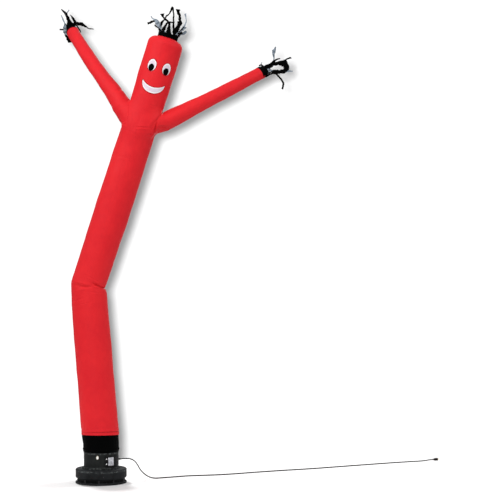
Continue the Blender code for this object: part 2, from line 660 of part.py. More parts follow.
def fringe(name, frames, radii, columns, strips, spec):
    """A band round the opening and its streamers, one sheet given its thickness."""
    band = rings(frames, radii, columns)
    points = list(band.reshape(-1, 3))
    faces = round_faces(len(radii), columns)
    top = (len(radii) - 1) * columns
    for strip in strips:
        a, b = top + strip.column % columns, top + (strip.column + 1) % columns
        root = (points[a] + points[b]) / 2
        edge = points[b] - points[a]
        width = np.linalg.norm(edge)
        side = edge / width
        (centres, along, _, _), stations = strip_path(root, strip)
        before = (a, b)
        for centre, tangent, station in zip(centres, along, stations):
            share = station / strip.length
            side = side - np.dot(side, tangent) * tangent
            side /= np.linalg.norm(side)
            turn = math.radians(strip.twist) / len(stations)
            side = side * math.cos(turn) + np.cross(tangent, side) * math.sin(turn)
            half = (width + (strip.end_width - width) * min(1.0, share / STRIP_ROOT)) / 2
            now = (len(points), len(points) + 1)
            points += [centre - half * side, centre + half * side]
            faces.append((before[0], now[0], now[1], before[1]))
            before = now
    thing = make_object(name, points, faces, spec, closed=False)
    wall = thing.modifiers.new("Cloth", "SOLIDIFY")
    wall.thickness = STREAMER_CLOTH
    wall.offset = -1
    return thing


def hand_fringes():
    for arm in ARMS:
        stations = np.array([arm.length - HAND_OVERLAP, arm.length, arm.length + 0.5 * HAND_BAND_HEIGHT,
                             arm.length + HAND_BAND_HEIGHT])
        frames = follow(arm.start, arm.bends, stations)
        taper = np.array([1.0, 1.0, (1 + HAND_BAND_END) / 2, HAND_BAND_END])
        outer = (ARM_GIRTHS[0].radius + HAND_BAND_CLEAR) * taper + STREAMER_CLOTH
        inner = (ARM_GIRTHS[0].radius - CLOTH - HAND_BAND_CLEAR) * taper
        strips = HAND_STRIPS[arm.name]
        fringe(arm.name + "_hand_fringe", frames, outer, ARM_SIDES, strips["black"], BLACK_CLOTH)
        fringe(arm.name + "_hand_silver", frames, inner, ARM_SIDES, strips["silver"], SILVER_CLOTH)


def head_fringe():
    stations = HEAD_TOP + np.array([0.004, 0.5 * HEAD_BAND_HEIGHT, HEAD_BAND_HEIGHT])
    frames = follow(TUBE_START, TUBE_BENDS, stations)
    outer = np.full(len(stations), NECK_RADIUS + HEAD_BAND_CLEAR + STREAMER_CLOTH)
    inner = np.full(len(stations), NECK_RADIUS - CLOTH - HEAD_BAND_CLEAR)
    fringe("head_fringe", frames, outer, TUBE_SIDES, HEAD_STRIPS["black"], BLACK_CLOTH)
    fringe("head_silver", frames, inner, TUBE_SIDES, HEAD_STRIPS["silver"], SILVER_CLOTH)


# A streamer starts on one column of its band; its headings are at even stations, and it leans towards +Y
HEAD_STRIPS = {
    "black": (
        Strip(11, 0.215, 0.034, (-15, -35, -45, -95, -115), -4, -8, 75),
        Strip(9, 0.17, 0.030, (-15, -12, 0, 30, 38), 4, 8, 25),
        Strip(8, 0.13, 0.016, (-35, -50, -55, -50, -50), -30, -34, 30),
        Strip(6, 0.25, 0.040, (2, -5, -28, -42, -34), -12, -20, 15),
        Strip(5, 0.18, 0.022, (6, -2, -5, 45, 70), 26, 22, -15),
        Strip(3, 0.50, 0.020, (0, 2, 2, 0, -2, -3, -4, -5, -5, -150, -158, -140, -125, -122), -4, -8, -30),
        Strip(2, 0.33, 0.046, (12, 45, -12, -11, -12), -8, -8, -25),
        Strip(0, 0.11, 0.034, (36, 42, 44, 45, 45), -24, -20, -50),
        Strip(21, 0.24, 0.026, (20, 35, 20, -5, -10), 30, 34, -30),
        Strip(19, 0.21, 0.030, (40, 55, 25, -5, -10), 34, 36, 25),
        Strip(16, 0.26, 0.030, (0, -20, -25, -30, -20), 18, 32, -30),
        Strip(13, 0.22, 0.028, (-10, -25, -40, -60, -80), 14, 30, 40),
    ),
    "silver": (
        Strip(10, 0.22, 0.026, (-8, -25, -38, -45, -45), 3, 2, 60),
        Strip(0, 0.29, 0.018, (25, 30, 34, 5, -8), 2, 8, -40),
        Strip(22, 0.13, 0.040, (50, 60, 66, 68, 70), 10, 16, 55),
        Strip(14, 0.22, 0.034, (-6, -8, -20, -40, -50), 22, 16, 30),
        Strip(18, 0.22, 0.030, (48, 62, 52, 30, 10), 4, 6, -35),
    ),
}
HAND_STRIPS = {
    "left": {
        "black": (
            Strip(5, 0.26, 0.026, (-6, -10, -20, -37, -40), 26, 2, 20),
            Strip(1, 0.32, 0.018, (38, 72, 94, 116, 124, 112, 92), 30, 10, 30),
            Strip(3, 0.17, 0.010, (10, 5, -20, -36, -40), 34, 12, 15),
            Strip(10, 0.16, 0.014, (-60, -84, -90, -90, -90), 60, 30, 20),
            Strip(14, 0.22, 0.024, (12, -20, -35, -40, -40), 50, 40, 30),
            Strip(9, 0.22, 0.030, (-30, -75, -195, -212, -216, -216, -214), 46, 20, 10),
        ),
        "silver": (
            Strip(6, 0.20, 0.014, (-38, -34, -22, -20, -22), 36, 14, 20),
            Strip(4, 0.21, 0.012, (-14, -14, -18, 20, 33), 40, 20, 20),
            Strip(8, 0.19, 0.034, (-34, -44, -170, -180, -190, -200, -205), 24, -20, 60),
            Strip(12, 0.24, 0.030, (-30, -45, -50, -40, -35), 56, 50, 20),
        ),
    },
    "right": {
        "black": (
            Strip(5, 0.19, 0.016, (62, 50, 48, 60, 85), 5, -4, 30),
            Strip(4, 0.47, 0.040, (60, 64, 68, 78, 140, 180, 272, 268, 262), -4, -14, 15),
            Strip(2, 0.32, 0.024, (60, 62, 66, 68, 68), 20, 14, 50),
            Strip(0, 0.22, 0.036, (78, 92, 94, 92, 88), 8, -4, -30),
            Strip(14, 0.34, 0.020, (70, 84, 112, 130, 142, 140, 140, 178, 196), 10, -4, 30),
            Strip(9, 0.24, 0.030, (66, 72, 80, 85, 78), 34, 30, 30),
            Strip(12, 0.20, 0.028, (76, 95, 104, 98, 90), 30, 38, 25),
        ),
        "silver": (
            Strip(6, 0.265, 0.030, (56, 50, 14, 6, 15), 16, 10, 45),
            Strip(1, 0.31, 0.024, (82, 88, 90, 90, 88), 34, 26, 40),
            Strip(10, 0.22, 0.024, (72, 84, 95, 100, 100), 42, 44, 20),
        ),
    },
}


def build():
    clear_scene()
    blower()
    oval_cap()
    mains_lead()
    cuff()
    arms(body_tube())
    face()
    head_fringe()
    hand_fringes()


build()
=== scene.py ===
# %% [markdown]
# # An inflatable air dancer on its blower
#
# A tall tube of thin red nylon, with a face, two sleeves and streamers, that a floor blower keeps upright.
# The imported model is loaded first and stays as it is. This script makes the cloth, the mouldings and the
# finishes around it, as surfaces worked out with numpy: a shape is a function of two parameters on a grid.

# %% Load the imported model, the fixed frame of everything below
import math
from collections import namedtuple

import bmesh
import bpy
import numpy as np
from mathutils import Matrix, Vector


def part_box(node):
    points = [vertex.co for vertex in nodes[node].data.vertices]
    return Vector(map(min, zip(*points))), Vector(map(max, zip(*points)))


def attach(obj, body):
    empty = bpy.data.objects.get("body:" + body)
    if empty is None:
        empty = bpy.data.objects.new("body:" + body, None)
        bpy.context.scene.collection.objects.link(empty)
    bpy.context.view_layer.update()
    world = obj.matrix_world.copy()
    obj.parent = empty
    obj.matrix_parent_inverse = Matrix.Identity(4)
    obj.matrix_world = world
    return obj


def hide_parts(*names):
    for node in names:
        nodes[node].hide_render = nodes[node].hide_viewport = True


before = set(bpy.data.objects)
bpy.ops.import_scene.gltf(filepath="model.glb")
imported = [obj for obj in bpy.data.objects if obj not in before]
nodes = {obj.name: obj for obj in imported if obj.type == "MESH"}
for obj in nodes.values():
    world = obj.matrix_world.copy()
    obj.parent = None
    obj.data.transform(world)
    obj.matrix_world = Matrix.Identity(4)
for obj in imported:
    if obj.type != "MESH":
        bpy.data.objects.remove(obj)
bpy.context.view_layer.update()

scene = bpy.context.scene

# %% [markdown]
# ## The camera
#
# The figure is seen from far away and level with its middle, so that its tube hardly narrows with height. A
# camera without perspective would do nearly the same; a long lens 20 m back keeps the little that there is.

# %% Make the camera
CAMERA_PLACE = (1.786, -20.0, 2.789)
LENS = 120.0  # mm, on a sensor 36 mm wide

camera = bpy.data.objects.new("camera", bpy.data.cameras.new("camera"))
camera.data.lens = LENS
camera.data.sensor_width = 36.0
camera.location = CAMERA_PLACE
camera.rotation_euler = (math.pi / 2, 0, 0)
scene.collection.objects.link(camera)
scene.camera = camera
print("camera:", LENS, "mm,", -CAMERA_PLACE[1], "m back")

# %% [markdown]
# ## Surfaces on a grid
#
# A tube of cloth could be sculpted or simulated, but then no size in it is known. Here every new piece goes
# the same way: a function gives a grid of points, rows along the piece and columns round or across it, and
# the quads between them follow from the grid's size. Cloth also gets a UV map in metres, measured flat, so
# that a weave has one scale on every piece.

# %% Turn grids into meshes
def grid_faces(rows, columns, closed):
    """Quads of a grid, point = row * columns + column, and each corner's row and column on the flat cloth.
    A closed grid joins its last column to its first, and counts that column on for the cloth."""
    row, column = np.meshgrid(np.arange(rows - 1), np.arange(columns - (not closed)), indexing="ij")
    row, column = row.ravel(), column.ravel()
    after = (column + 1) % columns
    quads = np.stack([row * columns + column, (row + 1) * columns + column,
                      (row + 1) * columns + after, row * columns + after], axis=-1)
    corner_rows = np.stack([row, row + 1, row + 1, row], axis=-1)
    corner_columns = np.stack([column, column, column + 1, column + 1], axis=-1)
    return quads, corner_rows, corner_columns


def shade(mesh, sharpest):
    """Smooth faces, but for the edges sharper than an angle in degrees."""
    mesh.shade_smooth()
    if sharpest < 180.0:
        mesh.set_sharp_from_angle(angle=math.radians(sharpest))


def make_piece(name, points, faces, finish, flat=None, smooth=180.0):
    """A mesh object from arrays. flat holds one (u, v) for each corner of each face, in metres."""
    mesh = bpy.data.meshes.new(name)
    mesh.from_pydata(np.asarray(points, float).tolist(), [], [list(map(int, face)) for face in faces])
    if flat is not None:
        layer = mesh.uv_layers.new(name="cloth")
        layer.data.foreach_set("uv", np.asarray(flat, np.float32).ravel())
    shade(mesh, smooth)
    mesh.materials.append(finish)
    thing = bpy.data.objects.new(name, mesh)
    scene.collection.objects.link(thing)
    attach(thing, "root")
    print(name, len(mesh.polygons), "faces")
    return thing


def grid_piece(name, grid, finish, flat=None, closed=True, keep=None, smooth=180.0):
    """One piece from a grid of points. flat is the grid's (u, v), with one more column if it is closed."""
    rows, columns, _ = grid.shape
    quads, corner_rows, corner_columns = grid_faces(rows, columns, closed)
    if keep is not None:
        wanted = keep(grid.reshape(-1, 3)[quads].mean(axis=1))
        quads, corner_rows, corner_columns = quads[wanted], corner_rows[wanted], corner_columns[wanted]
    corners = None if flat is None else flat[corner_rows, corner_columns]
    return make_piece(name, grid.reshape(-1, 3), quads, finish, corners, smooth)


def merge_poles(thing, distance=1e-5):
    """Points that meet, as at the pole of a turned shape, become one, and faces with no area go."""
    work = bmesh.new()
    work.from_mesh(thing.data)
    bmesh.ops.remove_doubles(work, verts=work.verts, dist=distance)
    bmesh.ops.dissolve_degenerate(work, edges=work.edges, dist=distance)
    bmesh.ops.recalc_face_normals(work, faces=work.faces)
    work.to_mesh(thing.data)
    work.free()
    return thing


def mark(thing, values, name="marked"):
    """Give each point of a piece its share of the finish's marked colour, or of its wear and painted highlight."""
    layer = thing.data.attributes.new(name, "FLOAT", "POINT")
    layer.data.foreach_set("value", np.asarray(values, np.float32).ravel())


def unit(vectors):
    """Each vector over its own length."""
    return vectors / np.linalg.norm(vectors, axis=-1, keepdims=True)


def round_turn(count):
    """Angles spread evenly round a circle, in radians."""
    return np.linspace(0, 2 * math.pi, count, endpoint=False)


def run_along(line, **more):
    """How far along a line each of its points is, its first at 0."""
    return np.concatenate([[0], np.cumsum(np.linalg.norm(np.diff(line, axis=0, **more), axis=1))])


def cloth_places(across, along):
    """A flat cloth's (u, v) for every point of a grid, from its columns' and its rows' lengths."""
    return np.stack(np.broadcast_arrays(across, along), axis=-1)


def interpolate(where, table):
    """The value at each place, in straight lines between (place, value) rows."""
    table = np.asarray(table, float)
    return np.interp(where, table[:, 0], table[:, 1])


def hump(x):
    """A smooth bump: one at 0, none from 1 on, (1 - x squared) squared."""
    return np.clip(1 - np.square(x), 0, 1) ** 2


# %% [markdown]
# ## Following an axis
#
# Leg, trunk, sleeves and the streamers' bands follow an axis that bends a little. A bevelled curve would
# twist its columns, so one function walks along the axis instead. At every distance it gives the centre and
# three directions: along the axis, across it towards +X, and to the front.

# %% Walk along a bent axis
def walk(start, bends, distances):
    """Centres and directions at the distances. Heading (from straight up towards +X) and swing (towards
    +Y) turn evenly between the bends, in degrees; a centre is the start plus the sum of all steps to it."""
    table = np.array(bends, float)
    distances = np.asarray(distances, float)
    fine = np.linspace(0.0, max(float(distances.max()), 1e-6), 1200)

    def directions(where):
        heading = np.radians(np.interp(where, table[:, 0], table[:, 1]))
        swing = np.radians(np.interp(where, table[:, 0], table[:, 2]))
        along = np.stack([np.cos(swing) * np.sin(heading), np.sin(swing),
                          np.cos(swing) * np.cos(heading)], axis=-1)
        across = np.stack([np.cos(heading), np.zeros_like(heading), -np.sin(heading)], axis=-1)
        return along, across

    along, across = directions(fine)
    steps = (along[1:] + along[:-1]) / 2 * np.diff(fine)[:, None]
    walked = np.vstack([np.zeros(3), np.cumsum(steps, axis=0)]) + np.array(start, float)
    centres = np.stack([np.interp(distances, fine, walked[:, k]) for k in range(3)], axis=-1)
    along, across = directions(distances)
    return centres, along, across, np.cross(across, along)


def spokes(walked, angles, radii):
    """Points round an axis: centre + radius * (cosine of the angle * across + sine * front)."""
    centres, _, across, front = walked
    return (centres[:, None, :] + radii[:, :, None]
            * (np.cos(angles)[..., None] * across[:, None, :] + np.sin(angles)[..., None] * front[:, None, :]))


# %% [markdown]
# ## Finishes
#
# An image could give a surface its colour, but it has one size and its edges show. So each finish is a
# Principled shader whose colour, roughness and bump come from a few procedural nodes. Cloth reads its UV
# map, a moulding Object coordinates. What is the same all over, such as sheen, is set on the shader itself,
# so that an export keeps it.

# %% Small helpers for node trees
def new_finish(name):
    """A new material with nodes: the material, its tree and its shader."""
    made = bpy.data.materials.new(name)
    made.use_nodes = True
    return made, made.node_tree, made.node_tree.nodes["Principled BSDF"]


def set_inputs(tree, node, values):
    """Give each of a node's inputs, by name or number, a socket or a constant."""
    for key, value in values.items():
        if isinstance(value, bpy.types.NodeSocket):
            tree.links.new(value, node.inputs[key])
        else:
            node.inputs[key].default_value = value


def add_node(tree, kind, inputs=None, **settings):
    """A new node of a kind, with its inputs and its settings given."""
    made = tree.nodes.new(kind)
    for key, value in settings.items():
        setattr(made, key, value)
    set_inputs(tree, made, inputs or {})
    return made


def object_place(tree, upright=1.0):
    """Object coordinates, in metres; upright other than one squeezes a pattern along z by that much."""
    place = add_node(tree, "ShaderNodeTexCoord").outputs["Object"]
    if upright == 1.0:
        return place
    return add_node(tree, "ShaderNodeMapping", {"Vector": place, "Scale": (1.0, 1.0, upright)}).outputs[0]


def attribute(tree, name):
    """What each point of a mesh carries under that name."""
    return add_node(tree, "ShaderNodeAttribute", attribute_name=name).outputs["Fac"]


def calc(tree, operation, first, second=0.0, third=0.0):
    """One sum of up to three numbers or sockets."""
    return add_node(tree, "ShaderNodeMath", {0: first, 1: second, 2: third}, operation=operation).outputs[0]


def threads(tree, place, pitch, sharpness):
    """Ridges across a coordinate: ((1 + cosine of one turn each pitch) / 2) to the power of sharpness."""
    wave = calc(tree, "COSINE", calc(tree, "MULTIPLY", place, 2 * math.pi / pitch))
    return calc(tree, "POWER", calc(tree, "MULTIPLY_ADD", wave, 0.5, 0.5), sharpness)


def noise(tree, place, scale, detail=3.0, roughness=0.5):
    """A cloudy pattern of about scale blobs a metre."""
    inputs = {"Vector": place, "Scale": scale, "Detail": detail, "Roughness": roughness}
    return add_node(tree, "ShaderNodeTexNoise", inputs).outputs["Fac"]


def ramp(tree, value, from_low=0.3, from_high=0.7, low=0.0, high=1.0):
    """A smooth step from low to high while the value goes from from_low to from_high."""
    inputs = {"Value": value, "From Min": from_low, "From Max": from_high, "To Min": low, "To Max": high}
    return add_node(tree, "ShaderNodeMapRange", inputs, interpolation_type="SMOOTHSTEP").outputs[0]


def tint(tree, colour, other, share):
    """A colour that goes from one, which may be a socket, to the other with the share."""
    first = colour if isinstance(colour, bpy.types.NodeSocket) else (*colour, 1.0)
    return add_node(tree, "ShaderNodeMix", {0: share, 6: first, 7: (*other, 1.0)}, data_type="RGBA").outputs[2]


def bump(tree, height, depth, before=None):
    """Relief whose height runs from 0 to the depth, in metres, on top of another bump."""
    inputs = {"Height": height, "Distance": depth, "Strength": 1.0}
    if before is not None:
        inputs["Normal"] = before
    return add_node(tree, "ShaderNodeBump", inputs).outputs[0]


# %% [markdown]
# ### Ripstop nylon
#
# The figure is sewn from ripstop: a plain weave with a thicker thread every 6 mm both ways that stops a
# tear. Modelled threads would be millions of faces, so they are waves in a bump. Cloth from a bag also keeps
# sharp little creases: the borders of a cell pattern give a few faint crossing lines.

# %% Woven cloth
RIPSTOP_PITCH = 0.006
RIPSTOP_SHARPNESS = 14.0
THREAD_PITCH = 0.0009
PACKING_CREASES = 5.5  # cells a metre
SLACK = 0.0022  # relief of the soft dents between the creases, m


def woven(name, colour, shade, light, roughness, sheen, shine, ripstop=0.00012, creases=0.0006, marked=None,
          patches=(2.3, 14.0)):
    """Cloth whose colour drifts between shade and light round its own colour in soft patches, with
    raised ripstop threads, a fine weave between them, and creases along the borders of a cell pattern.
    On silver the drift is strong and is a painted reflection of crumpled cloth. Where the piece's `marked`
    attribute is high, as along stitches, it takes the marked colour; along the hem that is partly painted
    shade, on silver ribbons all painted shade."""
    made, tree, shader = new_finish(name)
    flat = add_node(tree, "ShaderNodeUVMap", uv_map="cloth").outputs[0]
    place = object_place(tree)
    ways = list(add_node(tree, "ShaderNodeSeparateXYZ", {0: flat}).outputs)[:2]
    check = calc(tree, "MAXIMUM", *[threads(tree, way, RIPSTOP_PITCH, RIPSTOP_SHARPNESS) for way in ways])
    weave = calc(tree, "MULTIPLY", *[threads(tree, way, THREAD_PITCH, 1.0) for way in ways])
    drift = ramp(tree, noise(tree, place, patches[0], 2.0))
    fine = ramp(tree, noise(tree, place, patches[1], 4.0))
    share = calc(tree, "MULTIPLY_ADD", fine, 0.35, calc(tree, "MULTIPLY", drift, 0.65))
    share = calc(tree, "MULTIPLY_ADD", check, 0.22, share)
    shown = tint(tree, tint(tree, shade, light, share), colour, 0.5)
    if marked is not None:
        shown = tint(tree, shown, marked, attribute(tree, "marked"))
    gloss = calc(tree, "MULTIPLY_ADD", fine, 0.10, roughness - 0.05)
    cells = add_node(tree, "ShaderNodeTexVoronoi", {"Vector": flat, "Scale": PACKING_CREASES, "Randomness": 1.0},
                     feature="DISTANCE_TO_EDGE").outputs["Distance"]
    crease = ramp(tree, cells, 0.0, 0.045, 1.0, 0.0)
    patchy = ramp(tree, noise(tree, flat, 1.7, 2.0), 0.45, 0.65)
    relief = bump(tree, calc(tree, "MULTIPLY", crease, patchy), creases)
    relief = bump(tree, noise(tree, flat, 9.0, 3.0, 0.6), SLACK, relief)
    relief = bump(tree, calc(tree, "MULTIPLY_ADD", weave, 0.35, check), ripstop, relief)
    set_inputs(tree, shader, {
        "Base Color": shown, "Roughness": calc(tree, "MULTIPLY_ADD", check, -0.06, gloss), "Normal": relief,
        "Sheen Weight": sheen, "Sheen Roughness": 0.45, "Specular IOR Level": shine,
        "Sheen Tint": (*np.clip(np.array(light) * 1.3, 0, 1), 1.0)})
    return made


# red_nylon's marked colour is dark thread on the hem, and partly painted shade of the stitched groove.
red_nylon = woven("red_nylon", (0.68, 0.016, 0.024), (0.60, 0.012, 0.020), (0.76, 0.021, 0.025), 0.55, 0.02, 0.10,
                  marked=(0.36, 0.004, 0.010))
black_nylon = woven("black_nylon", (0.0012, 0.0013, 0.0013), (0.0007, 0.0008, 0.0008), (0.003, 0.0032, 0.0032),
                    0.60, 0.004, 0.01, creases=0.0010)
# Painted reflection: the silver's strong light and dark patches stand for a crumpled sheet's reflections.
silver_nylon = woven("silver_nylon", (0.17, 0.22, 0.28), (0.004, 0.010, 0.022), (0.62, 0.72, 0.82), 0.34, 0.03, 0.3,
                     creases=0.0014, marked=(0.030, 0.045, 0.055), patches=(11.0, 36.0))
white_nylon = woven("white_nylon", (0.70, 0.60, 0.70), (0.60, 0.49, 0.60), (0.76, 0.69, 0.77), 0.55, 0.02, 0.15,
                    marked=(0.82, 0.82, 0.84))
red_thread = woven("red_thread", (0.42, 0.004, 0.012), (0.34, 0.003, 0.010), (0.50, 0.006, 0.014), 0.50, 0.02, 0.15,
                   ripstop=0.0004)
print("finishes so far:", len(bpy.data.materials))

# %% [markdown]
# ### Mouldings, metal and rubber
#
# The blower is moulded in black plastic with a fine grain, which dust and knocks make greyer on edges; the
# same paler edges also carry a painted highlight along the rims. A pointiness input would find them, but isn't
# exported, so each moulding's mesh carries a `wear_and_highlight` attribute, worked out with its shape.

# %% Hard finishes
# Painted highlight: the pale scuffs on worn edges also stand for highlights along the rims.
SCUFFED_AND_HIGHLIGHT = (0.110, 0.120, 0.120)


def moulded(name, colour, dust_and_highlight, roughness, grain=0.00018, reads_wear_and_highlight=True):
    """Plastic with a grain of small bumps, broad dull patches, scratches, and a paler colour where the
    wear_and_highlight attribute is high: dust on worn edges, and a painted highlight along the rims. The most
    marked places are pale in broken dashes, partly scuffs and partly painted highlight."""
    made, tree, shader = new_finish(name)
    place = object_place(tree)
    share = calc(tree, "MULTIPLY", ramp(tree, noise(tree, place, 7.0, 5.0, 0.6)), 0.30)
    if reads_wear_and_highlight:
        wear_and_highlight = attribute(tree, "wear_and_highlight")
        broken = ramp(tree, noise(tree, place, 26.0, 5.0, 0.65), 0.42, 0.62)
        share = calc(tree, "MULTIPLY_ADD", calc(tree, "MULTIPLY", wear_and_highlight, broken), 0.75, share)
    scratch = ramp(tree, noise(tree, object_place(tree, 9.0), 22.0, 6.0, 0.7), 0.62, 0.72)
    share = calc(tree, "MULTIPLY_ADD", scratch, 0.18, share)
    shown = tint(tree, colour, dust_and_highlight, share)
    if reads_wear_and_highlight:
        # Painted highlight: these pale dashes are partly scuffs, partly highlights painted along the rims.
        flecks = ramp(tree, noise(tree, place, 38.0, 3.0, 0.7), 0.46, 0.62)
        worst = ramp(tree, wear_and_highlight, 0.2, 0.9, 0.0, 0.8)
        shown = tint(tree, shown, SCUFFED_AND_HIGHLIGHT, calc(tree, "MULTIPLY", worst, flecks))
    relief = bump(tree, noise(tree, place, 35.0, 3.0), 0.0008)
    set_inputs(tree, shader, {
        "Base Color": shown, "Roughness": calc(tree, "MULTIPLY_ADD", share, 0.35, roughness),
        "Normal": bump(tree, noise(tree, place, 420.0, 2.0), grain, relief), "Specular IOR Level": 0.1})
    return made


def metal(name, colour, tarnish, roughness):
    """Plated metal, brushed in fine lines, with duller spots."""
    made, tree, shader = new_finish(name)
    lines = noise(tree, object_place(tree, 12.0), 160.0, 3.0)
    spots = ramp(tree, noise(tree, object_place(tree), 90.0, 3.0), 0.5, 0.75)
    set_inputs(tree, shader, {
        "Base Color": tint(tree, colour, tarnish, spots), "Normal": bump(tree, lines, 0.0001),
        "Roughness": calc(tree, "MULTIPLY_ADD", lines, 0.25, roughness), "Metallic": 1.0})
    return made


drum_plastic = moulded("drum_plastic", (0.0050, 0.0057, 0.0065), (0.034, 0.037, 0.040), 0.55)
barrel_plastic = moulded("barrel_plastic", (0.006, 0.0068, 0.0068), (0.036, 0.039, 0.038), 0.55)
panel_plastic = moulded("panel_plastic", (0.0025, 0.0025, 0.003), (0.018, 0.018, 0.018), 0.40, reads_wear_and_highlight=False)
cord_rubber = moulded("cord_rubber", (0.008, 0.005, 0.004), (0.030, 0.022, 0.018), 0.50, 0.00008, reads_wear_and_highlight=False)
bolt_steel = metal("bolt_steel", (0.075, 0.075, 0.08), (0.03, 0.03, 0.03), 0.50)
pin_brass = metal("pin_brass", (0.78, 0.58, 0.26), (0.45, 0.30, 0.12), 0.22)
print("finishes so far:", len(bpy.data.materials))

# %% [markdown]
# ### Two finishes with a pattern of their own
#
# The bare rating plate is a thin pale metal sheet, scuffed in upright streaks. The oval cap has a white
# middle inside a dull tan rim, so its colour follows the distance from its own middle.

# %% Plate and cap
def streaked(name, colour, scuffed):
    """Pale sheet metal with upright streaks and grey blotches: two stretched noises, multiplied."""
    made, tree, shader = new_finish(name)
    streaks = ramp(tree, noise(tree, object_place(tree, 0.16), 130.0, 3.0, 0.6), 0.38, 0.62)
    blotches = ramp(tree, noise(tree, object_place(tree), 60.0, 4.0, 0.6), 0.35, 0.6, 0.25, 1.0)
    share = calc(tree, "MULTIPLY", streaks, blotches)
    set_inputs(tree, shader, {
        "Base Color": tint(tree, colour, scuffed, share), "Normal": bump(tree, streaks, 0.0001),
        "Roughness": calc(tree, "MULTIPLY_ADD", blotches, 0.2, 0.4), "Specular IOR Level": 0.3})
    return made


def ringed(name, middle, half, colour, rim):
    """One colour inside an oval and another outside it: q squared = (x / half width) squared + (z / half
    height) squared, both from the oval's middle, goes from one to the other round q = 1."""
    made, tree, shader = new_finish(name)
    place = object_place(tree)
    split = add_node(tree, "ShaderNodeSeparateXYZ", {0: place})
    x = calc(tree, "MULTIPLY_ADD", split.outputs[0], 1 / half[0], -middle[0] / half[0])
    z = calc(tree, "MULTIPLY_ADD", split.outputs[2], 1 / half[1], -middle[2] / half[1])
    grime = noise(tree, place, 150.0, 3.0)
    q = calc(tree, "MULTIPLY_ADD", x, x, calc(tree, "MULTIPLY", z, z))
    q = calc(tree, "MULTIPLY_ADD", grime, 0.3, q)
    set_inputs(tree, shader, {
        "Base Color": tint(tree, colour, rim, ramp(tree, q, 0.95, 1.3)), "Normal": bump(tree, grime, 0.0001),
        "Roughness": calc(tree, "MULTIPLY_ADD", grime, 0.3, 0.25)})
    return made


plate_sheet = streaked("plate_sheet", (0.66, 0.67, 0.71), (0.16, 0.16, 0.19))
screw_zinc = streaked("screw_zinc", (0.86, 0.86, 0.87), (0.45, 0.45, 0.45))
cap_middle = np.mean(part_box("oval_cap"), axis=0)
cap_enamel = ringed("cap_enamel", cap_middle, (0.0128, 0.0195), (0.90, 0.90, 0.86), (0.16, 0.12, 0.07))
print("cap at", np.round(cap_middle, 3).tolist())

# %% [markdown]
# ## The mains lead
#
# The lead is a round rubber cord, 14 mm thick, that leaves the barrel's back, drops to the floor and
# wanders off to its plug. It could be let fall in a simulation, but its way is known, so it is a curve
# through listed points. It is read at even spacing, and never goes lower than the floor.

# %% Lay the lead
CORD_RADIUS = 0.007
CORD_SPACING = 0.030
CURVE_SAMPLES = 4000
BARREL_RADIUS = 0.207
GLAND_ARC = 115.0
GLAND_HEIGHT = 0.269
GLAND_LENGTH = 0.045
TOUCHING = 0.0003  # the gap kept between pieces that touch
CORD_DROP = (  # from the barrel to the floor
    (0.268, 0.125, 0.271), (0.310, 0.140, 0.269), (0.345, 0.155, 0.262), (0.388, 0.172, 0.237),
    (0.424, 0.192, 0.186), (0.459, 0.216, 0.121), (0.506, 0.246, 0.068), (0.566, 0.282, 0.026),
    (0.640, 0.325, 0.0075),
)
CORD_LAID = (  # along the floor, (x, y)
    (0.720, 0.370), (0.830, 0.430), (1.016, 0.535), (1.206, 0.585), (1.415, 0.645), (1.600, 0.730),
    (1.786, 0.835), (2.165, 1.030), (2.549, 1.205), (2.943, 1.420), (3.343, 1.640), (3.753, 1.855),
    (4.020, 1.975),
)
CORD_RISE = ((4.100, 2.013, 0.009), (4.160, 2.042, 0.0150), (4.205, 2.064, 0.0170))  # to the plug


def barrel_point(arc, height, radius):
    """A place round the blower's axis; the arc is in degrees from the front towards +X."""
    turn = np.radians(arc)
    return np.stack(np.broadcast_arrays(radius * np.sin(turn), -radius * np.cos(turn), height), axis=-1)


def curve_through(points, spacing, lowest=0.0):
    """Even places on a cubic curve through the points, never lower than the lowest, and how many points
    each has passed. The curve's slope at each point is the mean of its sides'."""
    knots = np.array(points, float)
    spans = run_along(knots)
    slopes = np.gradient(knots, spans, axis=0)
    where = np.linspace(0, spans[-1], CURVE_SAMPLES)
    k = np.clip(np.searchsorted(spans, where, side="right") - 1, 0, len(spans) - 2)
    width = (spans[k + 1] - spans[k])[:, None]
    t = ((where - spans[k])[:, None]) / width
    curve = ((2 * t**3 - 3 * t**2 + 1) * knots[k] + (t**3 - 2 * t**2 + t) * width * slopes[k]
             + (-2 * t**3 + 3 * t**2) * knots[k + 1] + (t**3 - t**2) * width * slopes[k + 1])
    curve[:, 2] = np.maximum(curve[:, 2], lowest)
    length = run_along(curve)
    even = np.linspace(0, length[-1], max(2, round(length[-1] / spacing)) + 1)
    passed = np.interp(even, length, k + t[:, 0])
    return np.stack([np.interp(even, length, curve[:, axis]) for axis in range(3)], axis=-1), passed


cord_exit = barrel_point(GLAND_ARC, GLAND_HEIGHT, BARREL_RADIUS + GLAND_LENGTH + TOUCHING)
places = [cord_exit, *CORD_DROP, *[(x, y, CORD_RADIUS) for x, y in CORD_LAID], *CORD_RISE]
route, _ = curve_through(places, CORD_SPACING, CORD_RADIUS)
cord_curve = bpy.data.curves.new("mains_cord", "CURVE")
cord_curve.dimensions = "3D"
cord_line = cord_curve.splines.new("POLY")
cord_line.points.add(len(route) - 1)
cord_line.points.foreach_set("co", np.column_stack([route, np.ones(len(route))]).ravel())
cord_curve.bevel_depth = CORD_RADIUS
cord_curve.bevel_resolution = 4
cord_curve.use_fill_caps = True
cord_curve.materials.append(cord_rubber)
mains_cord = bpy.data.objects.new("mains_cord", cord_curve)
scene.collection.objects.link(mains_cord)
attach(mains_cord, "root")
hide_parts("cord")

# %% [markdown]
# ## Turned shapes
#
# The gland, the plug and most of the blower are turned: a profile goes once round an axis. A Screw modifier
# does that too, but not with ribs or dents that change round the axis. The corners of a real moulding are
# never sharp, so each profile's corners are first rounded off with short arcs.

